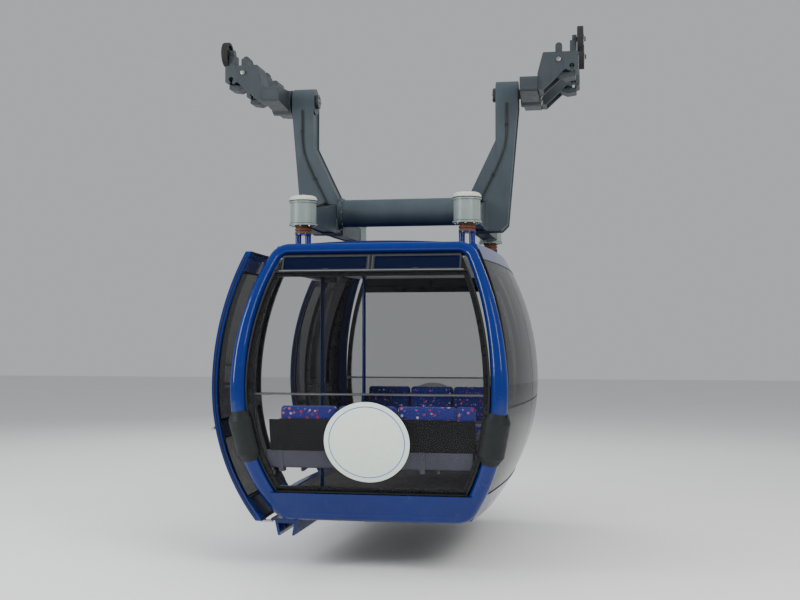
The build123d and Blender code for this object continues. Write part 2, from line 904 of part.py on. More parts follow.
with BuildPart() as bench_bases:
    bench_wall(seat_beam_low, seat_beam_high, end_beam_skin, side_beam_skin, seat_beam_depth,
               seat_beam_half, seat_beam_round)
    add(side_pan.part)
    for end in (-1, 1):
        end_slab(end, pan_low, seat_pan, end_front + pan_lip, end_y(pan_low, end_beam_mid))
        points = gusset_points(end_front, end_y(cushion_low, end_beam_mid), end_y(seat_beam_low, end_beam_mid))
        for x in end_gussets:
            extrude(outline_on(end_plane(end, x), points), amount=gusset_thickness / 2, both=True)
        for x in end_clamps:
            clamp = wall_section(end_plane(end, x), half_length, end_arcs, seat_beam_low - clamp_drop,
                                 seat_beam_high, end_beam_skin + clamp_lip,
                                 seat_beam_depth + 2 * clamp_lip)
            extrude(clamp, amount=clamp_width / 2, both=True)
    for y in side_gussets:
        points = gusset_points(side_front, side_x(cushion_low, side_beam_mid, y), side_x(seat_beam_low, side_beam_mid, y))
        extrude(outline_on(Plane.XZ.offset(-y), points), amount=gusset_thickness / 2, both=True)
finish(bench_bases, "bench_bases")

with BuildPart() as side_cushion:
    side_slab(cushion_low, cushion_thickness, side_front, side_beam_skin - seat_beam_depth - seat_clearance)

with BuildPart() as bench_cushions:
    add(side_cushion.part)
    for end in (-1, 1):
        end_slab(end, cushion_low, cushion_thickness, end_front,
                 end_y(cushion_low, end_beam_skin - seat_beam_depth - clamp_lip) - seat_clearance)
finish(bench_cushions, "bench_cushions")

with BuildPart() as bench_shells:
    bench_wall(seat_beam_high, shell_high, -wall_depth, -wall_depth, shell_thickness)
finish(bench_shells, "bench_shells")

with BuildPart() as bench_backs:
    bench_wall(back_low, back_high, back_skin, back_skin, back_thickness)
finish(bench_backs, "bench_backs")

# Grab poles from floor to ceiling beside the doorway
with BuildPart() as grab_poles:
    with BuildSketch(Plane.XY.offset(at(floor_top))):
        with Locations(*[(-pole_x, end * pole_y) for end in (-1, 1)]):
            Circle(pole_radius)
    extrude(amount=ceiling_height - floor_top)
finish(grab_poles, "grab_poles")

# Rubber buffers: sleeves with sloping ends round the corner tubes, cut clear of the walls
with BuildPart() as buffer_core:
    extrude(between_faces(Plane.XZ, end_half_width, end_arcs, side_bow / 6), amount=reach, both=True)
    extrude(between_faces(Plane.YZ, half_length, end_arcs, buffer_clearance), amount=reach, both=True,
            mode=Mode.INTERSECT)

with BuildPart() as buffer_pads:
    for end in (-1, 1):
        for side in (-1, 1):
            foot = tube_point(side, end, buffer_low)
            upward = tube_point(side, end, buffer_high) - foot
            across = Vector(end, -side, 0).normalized()
            along = upward.normalized()
            profile = outline_on(Plane(origin=foot, x_dir=along.cross(across), z_dir=across), (
                (0, 0), (tube_radius + buffer_lip, 0), (tube_radius + buffer_thickness, buffer_taper),
                (tube_radius + buffer_thickness, upward.length - buffer_taper),
                (tube_radius + buffer_lip, upward.length), (0, upward.length),
            ))
            revolve(profile, axis=Axis(foot, along))
    add(buffer_core.part, mode=Mode.SUBTRACT)
    for frame in end_frames.values():
        add(frame.part, mode=Mode.SUBTRACT)
finish(buffer_pads, "buffer_pads")

# Roof lugs, rubber springs and damper cups
rubber_low = cup_low - rubber_height
lug_foot = body_height - lug_sink


def discs_at_cups(height, radius, thickness):
    """A round disc at each of the four cups."""
    with BuildSketch(Plane.XY.offset(at(height))) as discs:
        with GridLocations(2 * cup_x, 2 * cup_y, 2, 2):
            Circle(radius)
    extrude(discs.sketch, amount=thickness)


with BuildPart() as roof_lugs:
    discs_at_cups(rubber_low - lug_plate, rubber_radius, lug_plate)
    with BuildSketch(Plane.XY.offset(at(lug_foot))):
        with GridLocations(2 * cup_x, 2 * cup_y, 2, 2):
            with GridLocations(2 * lug_spread, 0, 2, 1):
                Circle(lug_radius)
    extrude(amount=rubber_low - lug_plate - lug_foot)
    add(roof_panel.part, mode=Mode.SUBTRACT)
finish(roof_lugs, "roof_lugs")

ring_pitch = (rubber_height - rubber_ring_height) / (rubber_rings - 1)
with BuildPart() as rubber_springs:
    discs_at_cups(rubber_low, rubber_waist, rubber_height)
    for number in range(rubber_rings):
        discs_at_cups(rubber_low + number * ring_pitch, rubber_radius, rubber_ring_height)
finish(rubber_springs, "rubber_springs")

with BuildPart() as damper_cups:
    discs_at_cups(cup_low, cup_radius, cup_height)
    discs_at_cups(cup_low, cup_radius + cup_rim, cup_rim_height)
    discs_at_cups(cup_low + cup_height - cup_rim_height, cup_radius + cup_rim, cup_rim_height)
finish(damper_cups, "damper_cups")

with BuildPart() as dome:
    with BuildSketch(Plane.XY.offset(at(cup_low + cup_height))):
        Circle(cup_radius + cap_edge)
    extrude(amount=cap_height)
    fillet(dome.faces().sort_by(Axis.Z)[-1].edges(), radius=cap_height - cap_edge)

with BuildPart() as cup_caps:
    with GridLocations(2 * cup_x, 2 * cup_y, 2, 2):
        add(dome.part)
finish(cup_caps, "cup_caps")

# Hanger: a round cross tube between two arms, and a tapered box beam to each cup
beam_axis = cross_height - beam_sink
cup_axis = cup_low + cup_grip
arm_base = cross_height - arm_drop
saddle_top = cross_height + cross_radius + saddle_margin
for side in (-1, 1):
    name = SIDE_NAMES[side]
    with BuildPart() as hanger_arm:
        welded_box(Plane.XZ, [(side * x, at(h)) for x, h in (
            (arm_outer_base - arm_chamfer, arm_base), (arm_outer_base, arm_base + arm_chamfer),
            (arm_outer_top, pivot_height - head_radius), (arm_outer_top, pivot_height),
            (arm_inner_top, pivot_height), (arm_inner_top, pivot_height - knee_drop),
            (arm_inner_base, saddle_top), (arm_inner_base, arm_base),
        )], arm_half_depth, arm_plate)
        with BuildSketch(Plane.YZ.offset(side * arm_inner_base)) as saddle:
            with Locations((0, at((arm_base + arm_corner + saddle_top) / 2))):
                Rectangle(2 * arm_half_depth, saddle_top - arm_base - 3 * arm_corner)
        extrude(saddle.sketch, amount=side * saddle_thickness)
        head_x = side * (arm_inner_top + arm_outer_top) / 2
        with Locations(Location((head_x, 0, at(pivot_height)), (0, 90, 0))):
            Cylinder(head_radius, arm_outer_top - arm_inner_top)
            Cylinder(pin_radius + pin_clearance, rope_gauge, mode=Mode.SUBTRACT)
    finish(hanger_arm, f"hanger_arm_{name}")

    with BuildPart() as side_beam:
        for end in (-1, 1):
            welded_box(Plane.YZ.offset(side * cup_x), [(end * y, at(h)) for y, h in (
                (arm_half_depth, beam_axis + beam_mid_half), (arm_half_depth, beam_axis - beam_mid_half),
                (arm_half_depth + beam_flat, beam_axis - beam_mid_half),
                (cup_y, cup_axis - beam_end_half), (cup_y, cup_axis + beam_end_half),
                (arm_half_depth + beam_shoulder, beam_axis + beam_end_half),
            )], beam_half_width, beam_plate)
        add(damper_cups.part, mode=Mode.SUBTRACT)
    finish(side_beam, f"side_beam_{name}")

collar_x = arm_inner_base - collar_width / 2
with BuildPart() as cross_tube:
    with Locations(Location((0, 0, at(cross_height)), (0, 90, 0))):
        Cylinder(cross_radius, 2 * arm_inner_base)
    with Locations(*[Location((x, 0, at(cross_height)), (0, 90, 0)) for x in (-collar_x, collar_x)]):
        Cylinder(cross_radius + collar_lip, collar_width)
finish(cross_tube, "cross_tube")

# Rope grips. Each side has a rocker with the hanger's pivot pin, and two grips on the rope.
# A grip is a casting with two cheeks, a clamping lever between them, its spring and a wheel.
pivot_z = at(pivot_height)
rope_x = rope_gauge / 2
flange_x = rocker_outer + grip_flange
block_x = rope_x - jaw_radius - jaw_round
lever_x = rope_x - lever_reach
casting_points = (
    (rocker_outer, pivot_z - grip_flange_low), (rocker_outer, pivot_z + grip_flange_high),
    (flange_x, jaw_top), (rope_x + jaw_radius, jaw_top), (rope_x + jaw_radius, -jaw_lip),
    (rope_x + jaw_radius / 2, -jaw_bottom), (rope_x - jaw_radius / 2, -jaw_bottom),
    (rope_x - jaw_radius, -jaw_lip), (flange_x, pivot_z - grip_flange_low),
)
lever_points = (
    (rope_x + jaw_radius / 2, -jaw_bottom - lever_play), (rope_x + jaw_radius / 2, -jaw_bottom - lever_pad),
    (rope_x - jaw_radius, -jaw_bottom - lever_width), (lever_x, -lever_heel), (lever_x, lever_top),
    (lever_x + lever_width, lever_top), (lever_x + lever_width, -jaw_bottom - jaw_round),
    (rope_x - jaw_radius / 2, -jaw_bottom - lever_play),
)
spring_start = flange_x + seat_fit
spring_end = lever_x - seat_fit
spring_pitch = (spring_end - spring_start) / spring_rings


def disc_on_x(side, x, y, z, radius, width):
    """A round disc across the ropes, from x outwards."""
    with BuildSketch(Plane.YZ.offset(side * x)) as disc:
        with Locations((y, z)):
            Circle(radius)
    extrude(disc.sketch, amount=side * width)


levers = []
springs = []
for side in (-1, 1):
    name = SIDE_NAMES[side]
    with BuildPart() as rocker:
        bar = outline_on(Plane.YZ.offset(side * rocker_inner), [(y, pivot_z + z) for y, z in (
            (-rocker_half_length, -rocker_end_half), (-rocker_hub_radius, -rocker_half_height),
            (rocker_hub_radius, -rocker_half_height), (rocker_half_length, -rocker_end_half),
            (rocker_half_length, rocker_end_half), (rocker_hub_radius, rocker_half_height),
            (-rocker_hub_radius, rocker_half_height), (-rocker_half_length, rocker_end_half),
        )], rocker_round)
        extrude(bar, amount=side * (rocker_outer - rocker_inner))
        hub_start = rocker_inner - rocker_hub_lip
        disc_on_x(side, hub_start, 0, pivot_z, rocker_hub_radius, rocker_outer - hub_start + rocker_hub_lip)
        head_start = arm_inner_top - pin_stub
        disc_on_x(side, head_start, 0, pivot_z, pin_radius, rocker_inner - head_start)
        disc_on_x(side, head_start, 0, pivot_z, pin_radius + pin_head, pin_head)
    finish(rocker, f"rocker_{name}")

    with BuildPart() as grips:
        for y in (-grip_y, grip_y):
            plane = Plane.XZ.offset(-y)
            casting = outline_on(plane, [(side * x, z) for x, z in casting_points], jaw_round)
            extrude(casting, amount=grip_half, both=True)
            pocket_middle = side * (flange_x + block_x) / 2
            with BuildSketch(plane) as pocket:
                with Locations((pocket_middle, 0)):
                    Rectangle(block_x - flange_x, rope_gauge)
            extrude(pocket.sketch, amount=grip_half - grip_cheek, both=True, mode=Mode.SUBTRACT)
            with BuildSketch(plane) as bores:
                with Locations((side * rope_x, 0)):
                    Circle(rope_radius)
                with Locations((side * rope_x, -jaw_bottom)):
                    Rectangle(rope_radius, 2 * jaw_bottom)
                with Locations((side * (rope_x - lever_pin_inset), lever_pin_height)):
                    Circle(lever_pin_radius + seat_fit)
            extrude(bores.sketch, amount=2 * grip_half, both=True, mode=Mode.SUBTRACT)
            with BuildSketch(Plane.YZ.offset(side * (rope_x - post_inset))) as post:
                with Locations((y, (jaw_top + wheel_height - axle_radius) / 2)):
                    Rectangle(post_size, wheel_height - axle_radius - jaw_top + lever_play)
            extrude(post.sketch, amount=side * post_width)
            disc_on_x(side, rope_x, y, wheel_height, axle_radius + axle_end, axle_boss)
            disc_on_x(side, rope_x, y, wheel_height, axle_radius, axle_boss + wheel_clearance + wheel_width + axle_end)
    finish(grips, f"grips_{name}")

    for y in (-grip_y, grip_y):
        plane = Plane.XZ.offset(-y)
        with BuildPart() as lever:
            arm = outline_on(plane, [(side * x, z) for x, z in lever_points], jaw_round)
            extrude(arm, amount=grip_half - grip_cheek - lever_play, both=True)
            with BuildSketch(plane) as pin:
                with Locations((side * (rope_x - lever_pin_inset), lever_pin_height)):
                    Circle(lever_pin_radius)
            extrude(pin.sketch, amount=grip_half + lever_pin_end, both=True)
            with BuildSketch(plane) as roller:
                with Locations((side * (lever_x + lever_width / 2), lever_top)):
                    Circle(lever_roller_radius)
            extrude(roller.sketch, amount=lever_width / 2, both=True)
        levers.append(lever.part)

        with BuildPart() as spring:
            disc_on_x(side, spring_start, y, spring_height, spring_radius - jaw_round, spring_end - spring_start)
            for number in range(spring_rings):
                disc_on_x(side, spring_start + (number + 0.2) * spring_pitch, y, spring_height,
                          spring_radius, 0.6 * spring_pitch)
        springs.append(spring.part)

    for end in (-1, 1):
        wheel_x = rope_x + axle_boss + wheel_clearance
        wheel_y = end * grip_y
        web_radius = wheel_radius - wheel_rim
        with BuildPart() as wheel:
            disc_on_x(side, wheel_x, wheel_y, wheel_height, wheel_radius, wheel_width)
            with BuildSketch(Plane.YZ.offset(side * wheel_x)) as hollows:
                with Locations((wheel_y, wheel_height)):
                    Circle(web_radius)
                    Circle(wheel_hub_radius, mode=Mode.SUBTRACT)
            hollow_depth = (wheel_width - wheel_web) / 2
            for start in (0, wheel_width - hollow_depth):
                faces = hollows.sketch.moved(Location((side * start, 0, 0)))
                extrude(faces, amount=side * hollow_depth, mode=Mode.SUBTRACT)
            with BuildSketch(Plane.YZ.offset(side * wheel_x)) as holes:
                with Locations((wheel_y, wheel_height)):
                    Circle(axle_radius + axle_clearance)
                    with PolarLocations((web_radius + wheel_hub_radius) / 2, wheel_holes):
                        Circle(wheel_hole_radius)
            extrude(holes.sketch, amount=side * wheel_width, mode=Mode.SUBTRACT)
        finish(wheel, f"wheel_{name}_{END_NAMES[end]}")

with BuildPart() as grip_levers:
    add(levers)
finish(grip_levers, "grip_levers")

with BuildPart() as grip_springs:
    add(springs)
finish(grip_springs, "grip_springs")
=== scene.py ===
import json
import math

import bmesh
import bpy
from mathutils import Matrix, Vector
from mathutils.bvhtree import BVHTree


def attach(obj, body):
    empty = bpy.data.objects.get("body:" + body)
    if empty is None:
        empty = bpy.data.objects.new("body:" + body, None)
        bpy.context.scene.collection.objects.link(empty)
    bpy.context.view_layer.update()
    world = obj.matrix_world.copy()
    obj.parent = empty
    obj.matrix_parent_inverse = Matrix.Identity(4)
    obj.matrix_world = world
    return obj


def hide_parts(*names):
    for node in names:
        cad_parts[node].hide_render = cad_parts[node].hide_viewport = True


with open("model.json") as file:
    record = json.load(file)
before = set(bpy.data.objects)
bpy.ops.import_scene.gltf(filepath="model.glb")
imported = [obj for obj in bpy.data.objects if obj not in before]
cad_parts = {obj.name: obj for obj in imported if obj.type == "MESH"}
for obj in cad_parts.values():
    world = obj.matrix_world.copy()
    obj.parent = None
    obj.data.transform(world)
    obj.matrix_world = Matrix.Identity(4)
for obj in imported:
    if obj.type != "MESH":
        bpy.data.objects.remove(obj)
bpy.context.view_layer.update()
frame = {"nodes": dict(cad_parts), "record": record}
nodes = frame["nodes"]
CABIN = "cabin"
GRIPS = "grips"
ENDS = ((-1, "near"), (1, "far"))

# The cabin's sizes in metres. Heights are above its bottom edge, and at() turns one into a Z
ROPE_HEIGHT = 3.95
BODY_HEIGHT = 2.28
BULGE_HEIGHT = 1.09
HALF_LENGTH = 1.88
END_HALF_WIDTH = 1.10
SIDE_BOW = 0.145
TOP_INSET = 0.283
BOTTOM_INSET = 0.333
DOORWAY_HALF = 0.83
LEAF_OUT = 0.125
LEAF_TRAVEL = 0.838
SEAM_HEIGHT = 0.95
SIDE_SEAM = 0.44

PLAN_RADIUS = (HALF_LENGTH**2 + SIDE_BOW**2) / (2 * SIDE_BOW)
SIDE_AXIS_X = END_HALF_WIDTH + SIDE_BOW - PLAN_RADIUS


def at(height):
    return height - ROPE_HEIGHT


def bow_at(y):
    return PLAN_RADIUS - math.sqrt(PLAN_RADIUS**2 - y**2)


def arc_radius(rise, drop):
    return (rise**2 + drop**2) / (2 * drop)


BOW_TOP = bow_at(HALF_LENGTH) - bow_at(HALF_LENGTH - TOP_INSET)
BOW_BOTTOM = bow_at(HALF_LENGTH) - bow_at(HALF_LENGTH - BOTTOM_INSET)
UPPER_RISE = BODY_HEIGHT - BULGE_HEIGHT
END_ARCS = (arc_radius(UPPER_RISE, TOP_INSET), arc_radius(BULGE_HEIGHT, BOTTOM_INSET))
SIDE_ARCS = (arc_radius(UPPER_RISE, TOP_INSET + BOW_TOP), arc_radius(BULGE_HEIGHT, BOTTOM_INSET + BOW_BOTTOM))


def inset(arcs, height, skin):
    """Distance of a face behind its bulge at a height, for a skin moved out by skin."""
    radius = arcs[0] if height >= BULGE_HEIGHT else arcs[1]
    return radius - math.sqrt((radius + skin)**2 - (height - BULGE_HEIGHT)**2)


def side_x(height, skin, y):
    """Distance from the middle plane to a side's skin."""
    return SIDE_AXIS_X + math.sqrt((PLAN_RADIUS - inset(SIDE_ARCS, height, skin))**2 - y**2)


def on_side(side, y, height, skin):
    return Vector((side * side_x(height, skin, y), y, at(height)))


def on_end(end, x, height, skin):
    return Vector((x, end * (HALF_LENGTH - inset(END_ARCS, height, skin)), at(height)))


def on_leaf(end, y, height, skin):
    """Point on an open door leaf, with y counted from the edge where the shut leaves meet."""
    return on_side(-1, end * y, height, skin) + Vector((-LEAF_OUT, end * LEAF_TRAVEL, 0))


# Camera at the photograph's standing point, turned to the cabin
CAMERA_PLACE = (1.79, -10.49, at(1.514))
CAMERA_AIM = (-0.05, 0.0, at(1.86))
CAMERA_LENS = 50.0


def add_object(name, data):
    item = bpy.data.objects.new(name, data)
    bpy.context.scene.collection.objects.link(item)
    return item


def facing(place, aim):
    """Rotation of a camera or a light that stands at a place and looks at aim."""
    return (Vector(aim) - Vector(place)).to_track_quat("-Z", "Y").to_euler()


def make_camera():
    data = bpy.data.cameras.new("camera")
    data.lens = CAMERA_LENS
    data.sensor_width = 36.0
    camera = add_object("camera", data)
    camera.location = CAMERA_PLACE
    camera.rotation_euler = facing(CAMERA_PLACE, CAMERA_AIM)
    bpy.context.scene.camera = camera


# Materials
def set_inputs(node, **values):
    """Sets a node's inputs by name, with an underscore for each space."""
    for key, value in values.items():
        node.inputs[key.replace("_", " ")].default_value = value


class Paint:
    """A node material under construction, with short ways to add nodes."""

    def __init__(self, name):
        self.material = bpy.data.materials.new(name)
        self.material.use_nodes = True
        self.tree = self.material.node_tree
        self.shader = self.tree.nodes["Principled BSDF"]
        self.place = self.add("ShaderNodeTexCoord").outputs["Object"]

    def add(self, kind, **values):
        node = self.tree.nodes.new(kind)
        for key, value in values.items():
            setattr(node, key, value)
        return node

    def link(self, source, target):
        self.tree.links.new(source, target)

    def feed(self, socket, value):
        """Gives a socket a link, a colour or a number."""
        if isinstance(value, bpy.types.NodeSocket):
            self.link(value, socket)
        elif isinstance(value, tuple):
            socket.default_value = (*value, 1.0)
        else:
            socket.default_value = value

    def texture(self, kind, **values):
        """Node that reads the object's own coordinates."""
        node = self.add(kind)
        set_inputs(node, **values)
        self.link(self.place, node.inputs["Vector"])
        return node

    def noise(self, scale, detail=4.0, stretch=(1, 1, 1), rough=0.5):
        mapping = self.texture("ShaderNodeMapping", Scale=stretch)
        node = self.add("ShaderNodeTexNoise")
        set_inputs(node, Scale=scale, Detail=detail, Roughness=rough)
        self.link(mapping.outputs["Vector"], node.inputs["Vector"])
        return node.outputs["Fac"]

    def ramp(self, fac, stops):
        """Colour ramp whose stops are (place, colour) or (place, grey level)."""
        node = self.add("ShaderNodeValToRGB")
        elements = node.color_ramp.elements
        while len(elements) < len(stops):
            elements.new(0.5)
        for element, (place, colour) in zip(elements, stops):
            element.position = place
            element.color = (*colour, 1.0) if isinstance(colour, tuple) else (colour, colour, colour, 1.0)
        self.link(fac, node.inputs["Fac"])
        return node.outputs["Color"]

    def patches(self, scale, detail, levels, low=0.3, high=0.75):
        """Noise turned into patches that go from the first level to the second."""
        return self.ramp(self.noise(scale, detail), ((low, levels[0]), (high, levels[1])))

    def mix(self, fac, a, b):
        node = self.add("ShaderNodeMix", data_type="RGBA")
        for number, value in ((0, fac), (6, a), (7, b)):
            self.feed(node.inputs[number], value)
        return node.outputs[2]

    def math(self, operation, a, b):
        node = self.add("ShaderNodeMath", operation=operation)
        self.feed(node.inputs[0], a)
        self.feed(node.inputs[1], b)
        return node.outputs[0]

    def height(self):
        """Height of the shaded point above the cabin's bottom edge, in metres."""
        split = self.add("ShaderNodeSeparateXYZ")
        self.link(self.place, split.inputs[0])
        return self.math("ADD", split.outputs["Z"], ROPE_HEIGHT)

    def chips(self):
        """White on a few small knocked spots."""
        spot = self.ramp(self.noise(34.0, 7.0, rough=0.7), ((0.70, 0.0), (0.73, 1.0)))
        return self.math("MULTIPLY", spot, self.patches(2.6, 2.0, (0.0, 1.0), 0.5, 0.6))

    def bump(self, height, strength, distance, below=None):
        node = self.add("ShaderNodeBump")
        set_inputs(node, Strength=strength, Distance=distance)
        self.link(height, node.inputs["Height"])
        if below:
            self.link(below, node.inputs["Normal"])
        return node.outputs["Normal"]

    def finish(self, colour, roughness, normal=None):
        for socket, value in (("Base Color", colour), ("Roughness", roughness), ("Normal", normal)):
            if value is not None:
                self.link(value, self.shader.inputs[socket])
        return self.material


def scaled(colour, share):
    return tuple(channel * share for channel in colour)


def gloss_paint(name, colour, shade, roughness=(0.16, 0.3), dust=0.06):
    """Sprayed paint with a clear coat: slow colour drift, fine peel, dull dust low down."""
    paint = Paint(name)
    set_inputs(paint.shader, Coat_Weight=0.45, Coat_Roughness=0.04, IOR=1.4, Specular_IOR_Level=0.18)
    base = paint.mix(paint.noise(1.7), colour, shade)
    grime = paint.patches(9.0, 8.0, (0.0, dust), 0.48, 0.72)
    low = paint.ramp(paint.math("DIVIDE", paint.height(), BODY_HEIGHT), ((0.0, 1.0), (0.22, 0.25)))
    dirty = paint.math("MULTIPLY", grime, low)
    base = paint.mix(dirty, base, (0.10, 0.095, 0.085))
    rough = paint.patches(14.0, 6.0, roughness)
    rough = paint.math("ADD", rough, paint.math("MULTIPLY", dirty, 0.5))
    peel = paint.bump(paint.noise(260.0, 2.0), 0.06, 0.0006)
    ripple = paint.bump(paint.noise(6.0, 2.0), 0.05, 0.004, below=peel)
    return paint.finish(base, rough, ripple)


def dull_paint(name, colour, shade, chip, roughness=(0.42, 0.62)):
    """Workshop paint on steel: brushed-on texture, stains that run down, a few chips."""
    paint = Paint(name)
    set_inputs(paint.shader, Coat_Weight=0.12, Coat_Roughness=0.3)
    base = paint.mix(paint.patches(3.2, 6.0, (0.0, 1.0), 0.35, 0.7), colour, shade)
    streak = paint.ramp(paint.noise(26.0, 5.0, stretch=(1, 1, 0.08)), ((0.55, 0.0), (0.8, 0.45)))
    base = paint.mix(streak, base, scaled(colour, 0.45))
    base = paint.mix(paint.chips(), base, chip)
    rough = paint.patches(22.0, 6.0, roughness)
    grain = paint.bump(paint.noise(150.0, 4.0), 0.18, 0.0012)
    return paint.finish(base, rough, grain)


def bare_metal(name, colour, stretch, roughness=(0.24, 0.42)):
    """Drawn or brushed metal, with its grain along one axis and cloudy handling marks."""
    paint = Paint(name)
    set_inputs(paint.shader, Metallic=1.0)
    grain = paint.noise(190.0, 6.0, stretch=tuple(1.0 / s for s in stretch))
    cloud = paint.noise(7.0, 5.0)
    base = paint.mix(cloud, colour, scaled(colour, 0.72))
    rough = paint.ramp(paint.mix(0.35, grain, cloud), ((0.25, roughness[0]), (0.75, roughness[1])))
    return paint.finish(base, rough, paint.bump(grain, 0.08, 0.0004))


def tinted_glass(name, colour, alpha, gloss):
    """Smoked pane: part see-through, with faint wipe marks in its gloss."""
    paint = Paint(name)
    set_inputs(paint.shader, Alpha=alpha, IOR=1.25, Specular_IOR_Level=gloss)
    smear = paint.noise(5.0, 6.0, stretch=(1, 1, 0.35))
    rough = paint.ramp(smear, ((0.42, 0.015), (0.75, 0.09)))
    base = paint.mix(paint.noise(2.0), colour, scaled(colour, 1.5))
    paint.material.surface_render_method = "BLENDED"
    return paint.finish(base, rough, paint.bump(paint.noise(2.4, 1.0), 0.03, 0.01))


def moulded(name, colour, roughness, grain, depth, strength):
    """Moulded plastic or rubber: fine leather-like grain, scuffs and a little bloom."""
    paint = Paint(name)
    set_inputs(paint.shader, Specular_IOR_Level=0.28)
    scuff = paint.ramp(paint.noise(12.0, 8.0, rough=0.65), ((0.52, 0.0), (0.78, 0.4)))
    base = paint.mix(scuff, colour, tuple(channel * 0.86 + 0.006 for channel in colour))
    rough = paint.patches(18.0, 5.0, roughness)
    return paint.finish(base, rough, paint.bump(paint.noise(grain, 3.0), strength, depth))


def moquette(name):
    """Woven pile in deep blue with scattered small flecks of red, pink and cream."""
    paint = Paint(name)
    set_inputs(paint.shader, Sheen_Weight=0.5, Sheen_Roughness=0.45, Specular_IOR_Level=0.2)
    base = paint.mix(paint.noise(30.0, 3.0), (0.012, 0.020, 0.16), (0.03, 0.035, 0.27))
    flecks = (
        (24.0, 0.24, ((0.0, (0.42, 0.03, 0.06)), (0.4, (0.50, 0.12, 0.22)), (0.7, (0.55, 0.50, 0.46)))),
        (41.0, 0.17, ((0.0, (0.50, 0.40, 0.48)), (0.5, (0.32, 0.02, 0.05)), (0.8, (0.10, 0.16, 0.50)))),
    )
    for scale, reach, colours in flecks:
        cell = paint.texture("ShaderNodeTexVoronoi", Scale=scale)
        split = paint.add("ShaderNodeSeparateColor")
        paint.link(cell.outputs["Color"], split.inputs[0])
        spot = paint.ramp(cell.outputs["Distance"], ((reach, 1.0), (reach + 0.06, 0.0)))
        fleck = paint.ramp(split.outputs[0], colours)
        fleck.node.color_ramp.interpolation = "CONSTANT"
        shown = paint.math("MULTIPLY", spot, paint.math("GREATER_THAN", split.outputs[1], 0.42))
        base = paint.mix(shown, base, fleck)
    ribs = paint.texture("ShaderNodeTexWave", Scale=130.0, Distortion=1.5)
    ribs.bands_direction = "DIAGONAL"
    pile = paint.bump(paint.noise(900.0, 2.0), 0.5, 0.0015)
    pile = paint.bump(ribs.outputs["Fac"], 0.25, 0.001, below=pile)
    rough = paint.patches(60.0, 4.0, (0.82, 0.96), 0.3, 0.7)
    return paint.finish(base, rough, pile)


def studded_floor(name):
    """Hard-wearing sheet flooring with round studs, flecks and worn patches."""
    paint = Paint(name)
    worn = paint.patches(2.2, 5.0, (0.0, 1.0), 0.4, 0.7)
    base = paint.mix(worn, (0.052, 0.050, 0.050), (0.105, 0.098, 0.090))
    fleck = paint.patches(520.0, 1.0, (0.0, 1.0), 0.66, 0.7)
    base = paint.mix(fleck, base, (0.22, 0.22, 0.21))
    stud = paint.texture("ShaderNodeTexVoronoi", Scale=38.0, Randomness=0.0)
    dome = paint.ramp(stud.outputs["Distance"], ((0.2, 1.0), (0.34, 0.0)))
    rough = paint.patches(16.0, 6.0, (0.5, 0.78))
    return paint.finish(base, rough, paint.bump(dome, 0.6, 0.0016))


